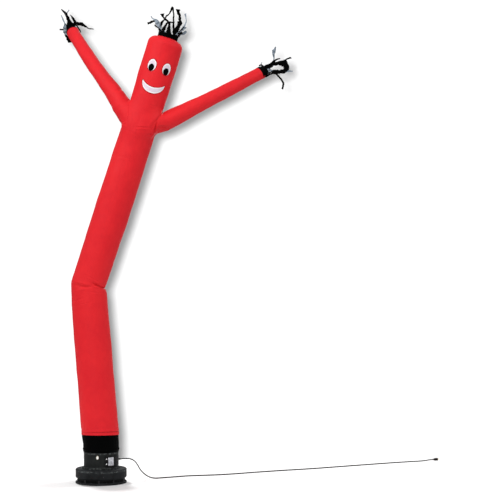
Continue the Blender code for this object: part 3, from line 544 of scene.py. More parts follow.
# %% Turn a profile round an axis
def rounded(profile, radius, steps=5):
    """The profile with each inner corner replaced by a curve that leaves and meets its sides up to the
    radius away: (1-t) squared * start + 2t(1-t) * corner + t squared * end."""
    corners = np.array(profile, float)
    t = np.linspace(0, 1, steps)[:, None]
    out = [corners[:1]]
    for before, corner, after in zip(corners, corners[1:], corners[2:]):
        back, on = before - corner, after - corner
        start = corner + back * min(0.48, radius / np.linalg.norm(back))
        end = corner + on * min(0.48, radius / np.linalg.norm(on))
        out.append((1 - t) ** 2 * start + 2 * t * (1 - t) * corner + t**2 * end)
    return np.concatenate(out + [corners[-1:]])


def turn_profile(start, along, profile, sides, ripple=None):
    """A grid round an axis: start + distance * along + radius * (cosine * side + sine * up), where the
    ripple may add to the radius at each distance, radius and angle."""
    along = unit(np.array(along, float))
    side = np.array((1.0, 0, 0)) if abs(along[2]) > 0.9 else unit(np.cross(along, (0, 0, 1.0)))
    up = np.cross(side, along)
    angle = round_turn(sides)[None, :]
    distance, radius = np.array(profile, float).T[:, :, None]
    radius = radius + (ripple(distance, radius, angle) if ripple else 0.0)
    radius, distance = np.broadcast_arrays(radius, distance)
    return (np.array(start, float) + distance[..., None] * along
            + radius[..., None] * (np.cos(angle)[..., None] * side + np.sin(angle)[..., None] * up))


def turned_piece(name, start, along, profile, sides, finish, ripple=None, wear_and_highlight=None, smooth=40.0):
    """A turned piece with closed poles. wear_and_highlight gives each profile row's share of dust and knocks,
    and of painted highlight.
    """
    thing = grid_piece(name, turn_profile(start, along, profile, sides, ripple), finish, smooth=smooth)
    if wear_and_highlight is not None:
        mark(thing, np.repeat(wear_and_highlight(np.array(profile)), sides), "wear_and_highlight")
    shade(merge_poles(thing).data, smooth)
    return thing


# %% [markdown]
# ### Strain relief
#
# Where the cord leaves the barrel, a tapered rubber sleeve lets it bend gently. Its grooves make it supple.
# They could be cut one by one, but a squared sine taken off the profile's radius gives them all at once.

# %% Make the strain relief
RELIEF_RADIUS = 0.0148  # at the barrel, where it has a collar
RELIEF_TAPER = (0.0112, 0.0445, 0.0116, 0.0088)  # where the taper starts and ends, and its radius there
GROOVED = (0.0135, 0.0435)
GROOVES = 10
GROOVE_DEPTH = 0.0007

taper_start, taper_end, thick, thin = RELIEF_TAPER
collar = rounded([(0.0, 0.0), (0.0, RELIEF_RADIUS), (0.009, RELIEF_RADIUS), (taper_start, thick),
                  (taper_end, thin), (taper_end + 0.0002, 0.0)], 0.0012)
stations = np.linspace(*GROOVED, 61)
share = (stations - GROOVED[0]) / (GROOVED[1] - GROOVED[0])
grooves = (thick - (stations - taper_start) / (taper_end - taper_start) * (thick - thin)
           - GROOVE_DEPTH * np.sin(share * GROOVES * math.pi) ** 2)
relief_profile = np.concatenate([collar[collar[:, 0] < GROOVED[0] - 0.0005], np.stack([stations, grooves], axis=-1),
                                 collar[collar[:, 0] > GROOVED[1] + 0.0005]])
strain_relief = turned_piece("strain_relief", barrel_point(GLAND_ARC, GLAND_HEIGHT, BARREL_RADIUS + TOUCHING),
                             barrel_point(GLAND_ARC, 0.0, 1.0), relief_profile, 48, cord_rubber)
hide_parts("cord_gland")

# %% [markdown]
# ### Plug
#
# At the other end is a plain moulded plug with finger grooves and three brass pins. The body is turned like
# the strain relief; the pins need no finer shape, so they stay the solid's own and only get their finish.

PLUG_TAIL = 0.025
PLUG_LENGTH = 0.050
PLUG_SHAPE = (  # share of the length, radius
    (0, 0.0084), (0.28, 0.0104), (0.34, 0.0140), (0.45, 0.0163), (0.93, 0.0163), (0.97, 0.0158), (1.0, 0.0148),
)
GRIP = (0.67, 0.17)  # the grooves' middle and half length, as shares
GRIP_DEPTH = 0.0009

plug_along = unit((route[-1] - route[-2]) * (1, 1, 0))
share = np.linspace(0.0, 1.0, 90)
ridges = np.sin((share - GRIP[0] + GRIP[1]) / (2 * GRIP[1]) * 5 * math.pi) ** 2
plug_radius = interpolate(share, PLUG_SHAPE) - GRIP_DEPTH * ridges * (np.abs(share - GRIP[0]) < GRIP[1])
plug_rows = np.stack([share * (PLUG_TAIL + PLUG_LENGTH), plug_radius], axis=-1)
plug_profile = np.vstack([(0, 0), plug_rows, (PLUG_TAIL + PLUG_LENGTH, 0)])
plug_body = turned_piece("plug_body", route[-1] + plug_along * TOUCHING, plug_along, plug_profile, 40,
                         cord_rubber)
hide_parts("plug")

# %% [markdown]
# ## The blower
#
# From the ground up it is a plate, a low waist where the air goes in behind a slotted guard, a fat drum
# with the fan in it, and the outlet barrel on a flange. The solids' sizes are kept, with finer shapes. Dust
# and knocks gather on edges, and the same paler edges carry a painted highlight along the rims. They could
# be painted on; here they are worked out from how sharply a profile turns, so that they fit each piece.

# %% Work out wear and painted highlight, and rows for them to fade over
SIDES = 240
UP = (0, 0, 1)
WEAR_AND_HIGHLIGHT_REACH = 0.010
WEAR_AND_HIGHLIGHT_STRENGTH = 3.0


def edge_wear_and_highlight(profile):
    """More wear, and more painted highlight, where the profile turns: each turn, 1 - the cosine of its angle,
    spreads along the profile as e to the minus (distance / reach) squared."""
    sides = np.diff(profile, axis=0)
    lengths = np.linalg.norm(sides, axis=1)
    run = np.concatenate([[0], np.cumsum(lengths)])
    sides = sides / np.maximum(lengths, 1e-9)[:, None]
    turn = np.zeros(len(profile))
    turn[1:-1] = 1 - np.sum(sides[1:] * sides[:-1], axis=1)
    spread = np.exp(-((run[:, None] - run[None, :]) / WEAR_AND_HIGHLIGHT_REACH) ** 2)
    return np.clip(spread @ turn * WEAR_AND_HIGHLIGHT_STRENGTH, 0, 1)


def denser(profile, step=0.014):
    """The profile with more points, none further from the next than the step."""
    run = run_along(profile)
    places = np.concatenate([np.linspace(a, b, math.ceil((b - a) / step) + 1) for a, b in zip(run, run[1:])])
    places = np.unique(places.round(6))
    return np.stack([np.interp(places, run, profile[:, k]) for k in (0, 1)], axis=-1)


def upright_piece(name, profile, finish, ripple=None, wear_and_highlight=None, level=0.0, sides=SIDES):
    """A piece of the blower turned round its upright axis, its profile measured from the level."""
    return turned_piece(name, (0, 0, level), UP, profile, sides, finish, ripple, wear_and_highlight)


# %% [markdown]
# ### Ground plate and drum
#
# The plate carries the whole figure. The drum above it is a thick moulding, with upright ribs so shallow
# that a bump would do from afar; as geometry they also break its outline a little, as on the real one.

# %% Turn the drum and the plate
BASE_RADIUS = 0.307
BASE_HEIGHT = 0.176
WAIST_RADIUS = 0.278
WAIST_TOP = 0.058
PLATE_HEIGHT = 0.024
DRUM_RIBS = 40
RIB_DEPTH = 0.0010


def drum_ribs(distance, radius, angle):
    """Shallow upright ribs on the drum's wall, and no two alike in depth."""
    wall = hump((distance - 0.118) / 0.052) * (radius > BASE_RADIUS - 0.004)
    rib = np.clip(np.cos(angle * DRUM_RIBS), 0, 1) ** 3 * (0.7 + 0.3 * np.sin(3 * angle + 1))
    dent = 0.0006 * np.sin(5 * angle + 2) + 0.0004 * np.sin(11 * angle)
    return wall * RIB_DEPTH * (rib - 1) + dent * (radius > 0.2) * 0.5 - 0.0004


low = WAIST_TOP + TOUCHING
drum_profile = denser(rounded([
    (low, 0.0), (low, WAIST_RADIUS + 0.006), (low + 0.010, BASE_RADIUS - 0.006), (low + 0.020, BASE_RADIUS),
    (0.148, BASE_RADIUS), (0.150, BASE_RADIUS - 0.002), (0.154, BASE_RADIUS - 0.002), (0.156, BASE_RADIUS),
    (BASE_HEIGHT - 0.011, BASE_RADIUS), (BASE_HEIGHT - 0.001, BASE_RADIUS - 0.011),
    (BASE_HEIGHT, BASE_RADIUS - 0.016), (BASE_HEIGHT, 0.245), (BASE_HEIGHT - 0.003, 0.242),
    (BASE_HEIGHT - 0.003, 0.234), (BASE_HEIGHT, 0.231), (BASE_HEIGHT, 0.0)], 0.004))
drum = upright_piece("drum_housing", drum_profile, drum_plastic, drum_ribs, edge_wear_and_highlight)
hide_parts("blower_drum")

plate_profile = rounded([(0.0, 0.0), (0.0, BASE_RADIUS - 0.004), (0.004, BASE_RADIUS), (0.016, BASE_RADIUS),
                         (PLATE_HEIGHT - 0.002, BASE_RADIUS - 0.005), (PLATE_HEIGHT, BASE_RADIUS - 0.009),
                         (PLATE_HEIGHT, 0.0)], 0.003)
plate = upright_piece("ground_disc", plate_profile, drum_plastic, wear_and_highlight=edge_wear_and_highlight)
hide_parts("ground_plate")

# %% [markdown]
# ### Outlet barrel
#
# The air leaves through a thin open barrel on a flange, with a raised bead that keeps the cuff from slipping
# off. It is hollow, so its profile goes up the outside, over the rim and down the inside.

# %% Turn the barrel
BARREL_TOP = 0.470
BARREL_WALL = 0.006
FLANGE_RADIUS = 0.2245
FLANGE_HEIGHT = 0.018
BEAD = 0.0035

low = BASE_HEIGHT + TOUCHING
shelf = low + FLANGE_HEIGHT
inner = BARREL_RADIUS - BARREL_WALL
barrel_profile = denser(rounded([
    (low, 0.0), (low, FLANGE_RADIUS), (shelf - 0.004, FLANGE_RADIUS), (shelf, FLANGE_RADIUS - 0.003),
    (shelf, BARREL_RADIUS + 0.005), (shelf + 0.006, BARREL_RADIUS), (0.358, BARREL_RADIUS),
    (0.361, BARREL_RADIUS + BEAD), (0.366, BARREL_RADIUS + BEAD), (0.369, BARREL_RADIUS),
    (BARREL_TOP, BARREL_RADIUS), (BARREL_TOP, inner), (low + BARREL_WALL, inner), (low + BARREL_WALL, 0.0)],
    0.0035))
barrel = upright_piece("outlet_barrel", barrel_profile, barrel_plastic, wear_and_highlight=edge_wear_and_highlight)
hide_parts("blower_barrel")

# %% [markdown]
# ### The slotted guard
#
# Air goes in all round the waist, through a ring of close upright slats between two hoops that keeps fingers
# and cloth out of the fan. An Array modifier could repeat one slat; here the eight corners of a box are
# turned to every slat's angle at once.

# %% Make the guard's slats and hoops
SLATS = 96
SLAT_WIDE = 0.0075
SLAT_DEEP = 0.006
HOOP = 0.004
HOOP_DEEP = 0.011
THROAT_RADIUS = 0.255  # the dark inside that shows between the slats

slat_angle = round_turn(SLATS)
out = np.stack([np.cos(slat_angle), np.sin(slat_angle), 0 * slat_angle], axis=-1)
aside = np.stack([-np.sin(slat_angle), np.cos(slat_angle), 0 * slat_angle], axis=-1)
low, high = PLATE_HEIGHT + TOUCHING, WAIST_TOP
corner = np.array([(a, b, c) for a in (0, 1) for b in (-0.5, 0.5) for c in (0, 1)])
radial = WAIST_RADIUS - 0.002 - SLAT_DEEP * (1 - corner[:, 0])
slats = (out[:, None, :] * radial[None, :, None] + aside[:, None, :] * (SLAT_WIDE * corner[:, 1])[None, :, None]
         + np.array(UP) * (low + 0.001 + (high - low - 0.002) * corner[:, 2])[None, :, None])
box_faces = np.array([(0, 1, 3, 2), (4, 6, 7, 5), (0, 4, 5, 1), (2, 3, 7, 6), (0, 2, 6, 4), (1, 5, 7, 3)])
faces = (box_faces[None] + 8 * np.arange(SLATS)[:, None, None]).reshape(-1, 4)
guard = make_piece("intake_slats", slats.reshape(-1, 3), faces, barrel_plastic, smooth=30.0)
merge_poles(guard, 1e-7)
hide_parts("intake_guard")
hoop = rounded([(0, WAIST_RADIUS - HOOP_DEEP), (0, WAIST_RADIUS), (HOOP, WAIST_RADIUS),
                (HOOP, WAIST_RADIUS - HOOP_DEEP), (0, WAIST_RADIUS - HOOP_DEEP)], 0.0008, 3)
for name, level in (("guard_hoop_low", low), ("guard_hoop_high", high - HOOP)):
    upright_piece(name, hoop, barrel_plastic, level=level)
core = rounded([(low, 0.0), (low, THROAT_RADIUS), (high, THROAT_RADIUS), (high, 0.0)], 0.002, 3)
# Painted shade: the core's darker finish stands in for the shade inside the intake, seen between the slats.
upright_piece("fan_throat", core, panel_plastic, sides=120)

# %% [markdown]
# ### Screw heads
#
# Round-headed screws hold the guard between the bolts, the drum's wall and the switch panel. A head is a low
# dome on a short rim. All the heads of a row are one array, with each one's place and the way it faces.

# %% Make rows of screw heads
SCREW_PROFILE = ((0.0, 1.0), (0.18, 1.0), (0.34, 0.92), (0.50, 0.70), (0.60, 0.40), (0.63, 0.0))


def screw_heads(name, places, facings, radius, finish, sides=18):
    """Domes: place + height * facing + radius * (cosine * side + sine * up), with the profile's heights and
    radii as shares of the screw's radius."""
    places, facings = np.array(places, float), unit(np.array(facings, float))
    profile = np.array(SCREW_PROFILE) * radius
    side = unit(np.cross(facings, np.where(np.abs(facings[:, 2:]) > 0.9, (1.0, 0, 0), (0, 0, 1.0))))
    up = np.cross(side, facings)
    turn = round_turn(sides)
    ring = np.cos(turn)[:, None] * side[:, None, :] + np.sin(turn)[:, None] * up[:, None, :]
    grid = (places[:, None, None, :] + profile[:, 0, None, None] * facings[:, None, None, :]
            + profile[:, 1, None, None] * ring[:, None, :, :])
    quads, _, _ = grid_faces(len(profile), sides, True)
    faces = (quads[None] + len(profile) * sides * np.arange(len(places))[:, None, None]).reshape(-1, 4)
    return merge_poles(make_piece(name, grid.reshape(-1, 3), faces, finish, smooth=50.0), 1e-6)


between_bolts = 18 + 36 * np.arange(10)
wall_arcs = 10 + 60 * np.arange(6)
screw_heads("guard_screws", barrel_point(between_bolts, PLATE_HEIGHT + TOUCHING, 0.292), [UP] * 10, 0.0085,
            bolt_steel)
screw_heads("drum_screws", barrel_point(wall_arcs, 0.100, BASE_RADIUS - 0.0006), barrel_point(wall_arcs, 0.0, 1.0),
            0.0060, bolt_steel)
for number, radius, finish in ((1, 0.0078, screw_zinc), (2, 0.0078, screw_zinc), (3, 0.0055, bolt_steel),
                               (4, 0.0055, bolt_steel)):
    middle = np.mean(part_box("panel_screw_%d" % number), axis=0)
    facing = unit(middle * (1, 1, 0))
    head = screw_heads("panel_head_%d" % number, [middle - 0.0019 * facing], [facing], radius, finish, sides=24)
    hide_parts("panel_screw_%d" % number)

# %% [markdown]
# ### Parts that keep the solid's own shape
#
# Bolts, pins, panel, bare plate and oval cap are as plain as their solids are, so a new mesh would show no
# more. They only get their finish. The plate is left blank.

# %% Finish the carried parts
CARRIED = (
    (bolt_steel, ["spacer_bolt_%02d" % k for k in range(1, 11)]),
    (pin_brass, ["pin_live", "pin_neutral", "pin_earth"]),
    (panel_plastic, ["switch_panel"]), (cap_enamel, ["oval_cap"]), (plate_sheet, ["blank_plate"]),
)
for finish, names in CARRIED:
    for name in names:
        nodes[name].data.materials.clear()
        nodes[name].data.materials.append(finish)
    print(finish.name, "on", len(names))

# %% [markdown]
# ## The body tube
#
# Leg, trunk and head are one tube of cloth, a single width closed by a lapped seam down the back, so its
# grid isn't joined there: the last columns lie over the first. Air keeps it round, and a bent cylinder would
# nearly do. Tables say more: how the axis bends, the radius at many places, and how far the cloth lies to
# one side of the axis.

# %% The tube's axis and girth
TUBE_START = (-0.012, 0.0, 0.565)
TUBE_BENDS = (  # distance, heading, swing
    (0.00, 0.0, 0), (0.08, -4.7, 0), (1.69, -4.7, 0), (1.89, 17.8, 0),
    (3.70, 17.8, 0), (3.90, 18.2, 0), (4.10, 18.2, 0), (4.16, 17.2, 0),
    (5.08, 17.2, 0),
)
TUBE_GIRTHS = (  # distance, radius
    (0.00, 0.2245), (0.030, 0.2258), (0.034, 0.2235), (0.30, 0.2215), (1.20, 0.2191), (1.60, 0.2163),
    (1.66, 0.2140), (1.70, 0.2122), (1.74, 0.2095), (1.78, 0.2066), (1.80, 0.2056), (1.82, 0.2060),
    (1.84, 0.2052), (1.90, 0.2049), (2.00, 0.2062), (2.20, 0.2088), (2.40, 0.2114), (2.60, 0.2140),
    (3.00, 0.2135), (3.40, 0.2118), (3.70, 0.2065), (4.10, 0.2070), (4.45, 0.2130), (5.10, 0.2145),
)
TUBE_SHIFT = (  # distance, how far the cloth's middle lies off the axis
    (1.60, 0.0), (1.70, 0.0033), (1.75, 0.0005), (1.80, -0.0085), (1.82, -0.0105), (1.84, -0.0079),
    (1.90, -0.0054), (2.20, -0.0039), (2.60, -0.0017), (3.00, 0.0),
)
KNEE = 1.795
HEAD_TOP = 4.908

print("tube:", HEAD_TOP, "m long, bent at", KNEE)

# %% [markdown]
# ### Folds and creases
#
# Where the tube bends it buckles into sharp folds, and near whatever pulls on it there are soft creases. A
# cloth simulation would find folds of its own, so each one is a row here: where it lies round and along the
# tube, how it rises, how deep it is and how far it reaches.

# %% List the folds and creases
KNEE_FOLDS = (  # angle (0 is the tube's +X side, 90 its front), distance, rise, depth, reach, width
    (0, KNEE, 0.075, 0.010, 44, 0.032),
    (44, KNEE, 0.075, 0.018, 46, 0.034), (-44, KNEE, 0.075, 0.018, 46, 0.034),
    (108, KNEE - 0.004, 0.0, 0.010, 40, 0.034), (-104, KNEE + 0.004, 0.0, 0.009, 42, 0.040),
)
CREASES = (  # the same; soft troughs with a ridge on each side
    (20, KNEE + 0.010, 0.060, 0.0060, 85, 0.016), (108, KNEE - 0.018, -0.035, 0.0065, 50, 0.020),
    (52, KNEE + 0.046, -0.020, 0.0085, 36, 0.026), (120, KNEE - 0.002, 0.0, 0.0075, 34, 0.024),
    (125, KNEE - 0.150, -0.030, 0.0026, 45, 0.014), (100, KNEE - 0.200, -0.020, 0.0018, 40, 0.012),
    (60, KNEE - 0.075, 0.020, 0.0022, 45, 0.014), (80, KNEE + 0.110, 0.030, 0.0018, 50, 0.016),
    (-60, KNEE + 0.012, 0.050, 0.0050, 70, 0.018), (-110, KNEE - 0.030, -0.02, 0.0050, 50, 0.020),
    (150, 3.395, 0.020, 0.0020, 50, 0.014), (60, 3.470, -0.020, 0.0016, 50, 0.012),
    (110, 3.700, 0.016, 0.0022, 45, 0.010), (75, 3.745, -0.012, 0.0024, 50, 0.010),
    (35, 3.690, 0.020, 0.0030, 40, 0.012), (140, 3.935, 0.020, 0.0022, 45, 0.012),
    (85, 4.235, 0.010, 0.0016, 40, 0.009), (110, 4.205, -0.012, 0.0014, 35, 0.009),
    (30, 4.080, 0.020, 0.0022, 40, 0.012), (-70, 3.860, 0.020, 0.0030, 60, 0.014),
    (-110, 4.300, -0.015, 0.0020, 55, 0.012), (-95, 2.700, 0.020, 0.0018, 60, 0.016),
    (90, 0.078, 0.004, 0.0026, 170, 0.022), (-90, 0.080, -0.004, 0.0026, 170, 0.022),
)


def trough(q):
    """A trough with a ridge on each side: (1 - 2 q squared) * e to the minus q squared."""
    return (1 - 2 * q**2) * np.exp(-q**2)


def away(angle, from_angle):
    """How far an angle is from another, in degrees, the short way round."""
    return np.abs((angle - from_angle + 180) % 360 - 180)


def fold_depth(distance, angle):
    """How far the knee's folds press the cloth in: cosine falls round the tube, straight falls along it."""
    total = np.zeros(np.broadcast(distance, angle).shape)
    for middle, station, rise, depth, reach, width in KNEE_FOLDS:
        strength = np.cos(np.clip(away(angle, middle) / reach, 0, 1) * math.pi / 2) ** 1.5
        line = station + rise * (1 - np.cos(np.radians(angle)))
        total += depth * strength * np.clip(1 - np.abs(distance - line) / width, 0, 1) ** 1.3
    return total


def crease_depth(distance, angle):
    """The sum of the creases, each its depth * a trough across its line, fading round the tube."""
    total = np.zeros(np.broadcast(distance, angle).shape)
    for middle, station, rise, depth, reach, width in CREASES:
        share = ((angle - middle + 180) % 360 - 180) / reach
        total += depth * hump(share) * trough((distance - station - rise * share) / width)
    return total


print(len(KNEE_FOLDS), "folds and", len(CREASES), "creases")


# %% [markdown]
# ### The tube's skin
#
# Even taut nylon isn't smooth: long low waves run through it, and the stitches of the hem pull a groove and
# small puckers. A bump in the finish wouldn't show in the outline, so they are part of the radius, which one
# function gives for every place on the tube.

# %% The radius at every place
HEM = 0.034
HEM_GROOVE = (0.0040, 0.0055)  # depth, half width
HEM_PUCKERS = (0.0009, 0.022)
TUBE_WAVES = (  # height, waves along (radians a metre), waves round, phase
    (0.0011, 7.3, 2, 0.0), (0.0009, 12.1, -3, 1.0), (0.0007, 19.0, 1, 2.0), (0.0005, 31.0, 5, 0.0),
)


def low_waves(table, distance, angle):
    """The sum of the table's rows, each height * the sine of (along * distance + round * angle + phase)."""
    return sum(height * np.sin(along * distance + around * angle + phase)
               for height, along, around, phase in table)


def hem_relief(distance, angle):
    """The turned-in hem stands proud up to its row of stitches, which pull a groove and small puckers."""
    a = np.radians(angle)
    groove = HEM_GROOVE[0] * np.exp(-((distance - HEM) / HEM_GROOVE[1]) ** 2)
    pucker = HEM_PUCKERS[0] * np.sin(46 * a + 3 * np.sin(5 * a)) * np.exp(-((distance - HEM) / HEM_PUCKERS[1]) ** 2)
    return pucker - groove


def tube_radius(distance, angle):
    """Girth, plus the shift times the cosine of the angle, less folds and creases, plus waves and hem."""
    shift = interpolate(distance, TUBE_SHIFT) * np.cos(np.radians(angle))
    return (interpolate(distance, TUBE_GIRTHS) + shift - fold_depth(distance, angle)
            - crease_depth(distance, angle) + low_waves(TUBE_WAVES, distance, np.radians(angle))
            + hem_relief(distance, angle))


print("radius at the knee's front:", np.round(tube_radius(KNEE, 90.0), 4))

# %% [markdown]
# ## Where the sleeves join
#
# Two tubes that only cross would show a hard dark valley between them. Blown up, the cloth bridges it, so
# chest and sleeves share one smooth skin, with sharp corners only in the armpits. So the distances outside
# the trunk and outside the sleeve are blended into one, and the skin is where that blend is zero.

# %% Distances outside the trunk and the sleeves
Arm = namedtuple("Arm", "name start length phase elbow inside root bends")  # root: station, more radius
ARMS = (
    Arm("left", (0.435, 0.0, 4.204), 1.72, 1.3, 0.53, 0,
        ((0.10, -0.002), (0.16, 0.001), (0.375, 0.011), (0.425, 0.0)),
        ((0.00, -30.0, 0), (0.45, -31.5, 10), (0.62, -36.5, 16),
         (0.95, -36.0, 25), (1.15, -33.5, 31), (1.70, -33.0, 46))),
    Arm("right", (0.438, 0.0, 4.206), 1.73, 0.4, 0.36, 180,
        ((0.10, -0.019), (0.17, -0.015), (0.285, -0.006), (0.40, 0.0)),
        ((0.00, 70.0, 0), (0.30, 69.0, 4), (0.42, 62.0, 6),
         (0.65, 62.5, 10), (0.90, 62.0, 14), (1.73, 59.6, 26))),
)
ARM_GIRTHS = (  # distance back from the hand, radius
    (0.00, 0.0755), (0.30, 0.0795), (0.60, 0.0845), (0.90, 0.0905), (1.10, 0.1000), (1.25, 0.1110),
    (1.40, 0.1130), (1.80, 0.1130),
)
ROOT_DEPTH = 0.160  # how far a sleeve's root reaches to the front and back
ROOT_REACH = 0.62
TRUNK_SEARCH = (3.0, 4.75, 360)  # where the nearest place on an axis is looked for: from, to, places
ARM_SEARCH = (0.0, 0.75, 200)
BLEND = 0.14  # how close the two distances are where the cloth begins to bridge, in front
BLEND_SIDES = 0.004  # and in the armpits
BLEND_DEEP = 0.15  # how far in front of the axes it is all of the first


def arm_radius(arm, stations):
    """The girth table's radius, plus what the root has more of, which ends in a short step on the left."""
    return interpolate(arm.length - stations, ARM_GIRTHS) + interpolate(stations, arm.root)


def arm_depth(arm, stations):
    """A sleeve's half depth: its radius, plus what its root is deeper, fading with distance."""
    plain = arm_radius(arm, stations)
    return plain + (ROOT_DEPTH - plain) * hump(stations / ROOT_REACH)


def nearest_on(points, axis):
    """For each point, the number of the nearest place on an axis and how far off it is."""
    gap = np.linalg.norm(points[:, None, :] - axis[None], axis=-1)
    nearest = gap.argmin(axis=1)
    return nearest, gap[np.arange(len(points)), nearest]


def outside_trunk(points):
    """Distance to the nearest place on the trunk's axis, less the girth there."""
    where = np.linspace(*TRUNK_SEARCH)
    nearest, gap = nearest_on(points, walk(TUBE_START, TUBE_BENDS, where)[0])
    return gap - interpolate(where[nearest], TUBE_GIRTHS)


def outside_arm(arm, points):
    """(q - 1) * radius, where q is the distance from the axis in an oval's own measure."""
    where = np.linspace(*ARM_SEARCH)
    centres, _, across, front = walk(arm.start, arm.bends, where)
    nearest, _ = nearest_on(points, centres)
    offset = points - centres[nearest]
    wide, deep = arm_radius(arm, where[nearest]), arm_depth(arm, where[nearest])
    forward = np.sum(offset * front[nearest], axis=-1)
    aside = np.linalg.norm(offset - forward[:, None] * front[nearest], axis=-1)
    return (np.hypot(aside / wide, forward / deep) - 1) * wide


def bridge(own, other, points):
    """How far the blend lifts the skin: reach / 4 * share squared, where the share is one where both
    distances are the same and none once they differ by the reach. The reach is small at the sides."""
    reach = BLEND_SIDES + (BLEND - BLEND_SIDES) * (1 - hump(points[:, 1] / BLEND_DEEP))
    share = np.clip(1 - np.abs(own - other) / reach, 0, 1)
    return share**2 * reach / 4


for arm in ARMS:
    print(arm.name, "hand at", walk(arm.start, arm.bends, [arm.length])[0].round(3))

# %% [markdown]
# ### Puckers
#
# The seams are tightest at the armpits, and the cloth there pulls into a few short puckers. A bump map would
# end at a seam; as troughs along straight lines, the same at the back, they run on from trunk to sleeve.

# %% List the puckers
PUCKERS = (  # both ends as (x, z), depth, width
    ((0.680, 4.330), (0.642, 4.180), 0.0170, 0.0120), ((0.430, 4.248), (0.600, 4.242), 0.0070, 0.013),
    ((0.440, 4.208), (0.570, 4.200), 0.0026, 0.012), ((0.590, 4.530), (0.685, 4.478), 0.0030, 0.012),
    ((0.605, 4.565), (0.680, 4.530), 0.0022, 0.010), ((0.205, 4.380), (0.262, 4.290), 0.0090, 0.013),
    ((0.262, 4.300), (0.330, 4.272), 0.0030, 0.012), ((0.430, 4.640), (0.586, 4.602), 0.0018, 0.012),
    ((0.450, 4.680), (0.560, 4.655), 0.0014, 0.010), ((0.130, 3.930), (0.400, 3.870), 0.0018, 0.020),
    ((0.220, 3.860), (0.450, 3.830), 0.0016, 0.018), ((0.700, 4.262), (0.830, 4.246), 0.0110, 0.018),
    ((0.560, 4.150), (0.636, 4.178), 0.0070, 0.012),
)


def puckers(points):
    """Height of the cloth over its plain shape: for each pucker less its depth * a trough across its line,
    fading out towards the line's ends."""
    total = np.zeros(len(points))
    for start, end, depth, width in PUCKERS:
        line = np.array(end) - start
        offset = points[:, ::2] - start
        share = offset @ line / (line @ line)
        q = (offset[:, 0] * line[1] - offset[:, 1] * line[0]) / np.linalg.norm(line) / width
        total -= depth * trough(q) * hump((share - 0.5) / 0.65)
    return total


print(len(PUCKERS), "puckers")

# %% [markdown]
# ### Rows and columns
#
# With even rows either the knee's folds would be lost or the tube would be far too heavy. So the rows are
# closer together at the hem, the knee and the chest, where the shape changes faster.

# %% Space the rows
BODY_COLUMNS = 196
SEAM_ANGLE = -90.0  # the back
SEAM_LAP = 5.0  # degrees that the seam's two edges overlap
KNEE_HALF = 0.24
CROWN_HEIGHT = 0.092

crown_start = HEAD_TOP - CROWN_HEIGHT
body_angle = np.linspace(SEAM_ANGLE, SEAM_ANGLE + 360 + SEAM_LAP, BODY_COLUMNS)[None, :]
stations = np.concatenate([
    np.linspace(0.0, 0.055, 18),  # hem
    np.arange(0.068, KNEE - KNEE_HALF, 0.0165),  # leg
    np.arange(KNEE - KNEE_HALF, KNEE + KNEE_HALF, 0.0055),  # knee
    np.arange(KNEE + KNEE_HALF, 3.60, 0.0135),  # trunk
    np.arange(3.60, 4.10, 0.0080),  # chest
    np.arange(4.10, crown_start - 0.005, 0.0125),  # head
])
radii = tube_radius(stations[:, None], body_angle)
print("rows below the crown:", len(stations))

# %% [markdown]
# ### Chest
#
# Near the sleeves the trunk's skin is lifted on to the blend. A Remesh would do that too, but lose the rows.
# The lift depends on where the skin already is, so it is worked out a few times, each time from the last
# place. Close to the seams the tube's own creases fade, and the puckers take their place.

# %% Lift the chest to the sleeves
CHEST = (3.30, 4.50)
ROUNDS = 4
CALM = (0.08, 0.25)  # how far from a seam the creases are whole, and how much is left on it
SEAM_SUNK = (0.0012, 0.03)  # a sewn seam's depth, and how far from the sleeve it still shows

chest = (stations > CHEST[0]) & (stations < CHEST[1])
chest_walk = walk(TUBE_START, TUBE_BENDS, stations[chest])
plain = np.repeat(interpolate(stations[chest], TUBE_GIRTHS)[:, None], BODY_COLUMNS, axis=1)


def chest_points(lift):
    """The chest's points at the plain radius plus the lift."""
    return spokes(chest_walk, np.radians(body_angle), plain + lift.reshape(plain.shape)).reshape(-1, 3)


lift, near_arm = np.zeros(plain.size), np.full(plain.size, np.inf)
for arm in ARMS:
    arm_lift = np.zeros(plain.size)
    for _ in range(ROUNDS):
        points = chest_points(arm_lift)
        beyond = outside_arm(arm, points)
        arm_lift = bridge(outside_trunk(points), beyond, points)
    lift, near_arm = np.maximum(lift, arm_lift), np.minimum(near_arm, beyond)
texture = ((radii[chest] - plain).ravel() * np.clip(near_arm / CALM[0], CALM[1], 1)
           + puckers(chest_points(lift)))
radii[chest] = plain + (lift + texture - SEAM_SUNK[0] * (near_arm < SEAM_SUNK[1])).reshape(plain.shape)
print("most lift, in mm:", round(1000 * float(lift.max()), 1))

# %% [markdown]
# ### Crown and neck
#
# The head's top is gathered into a short neck, the air's way out. A hemisphere would look like a ball, so it
# follows a quarter of an ellipse from the shoulder to the neck, with gathers that deepen as the cloth has
# less room.

# %% Gather the crown into the neck
NECK_RADIUS = 0.120
NECK_HEIGHT = 0.020
NECK_FLARE = 0.003
GATHER_DEPTH = 0.0022

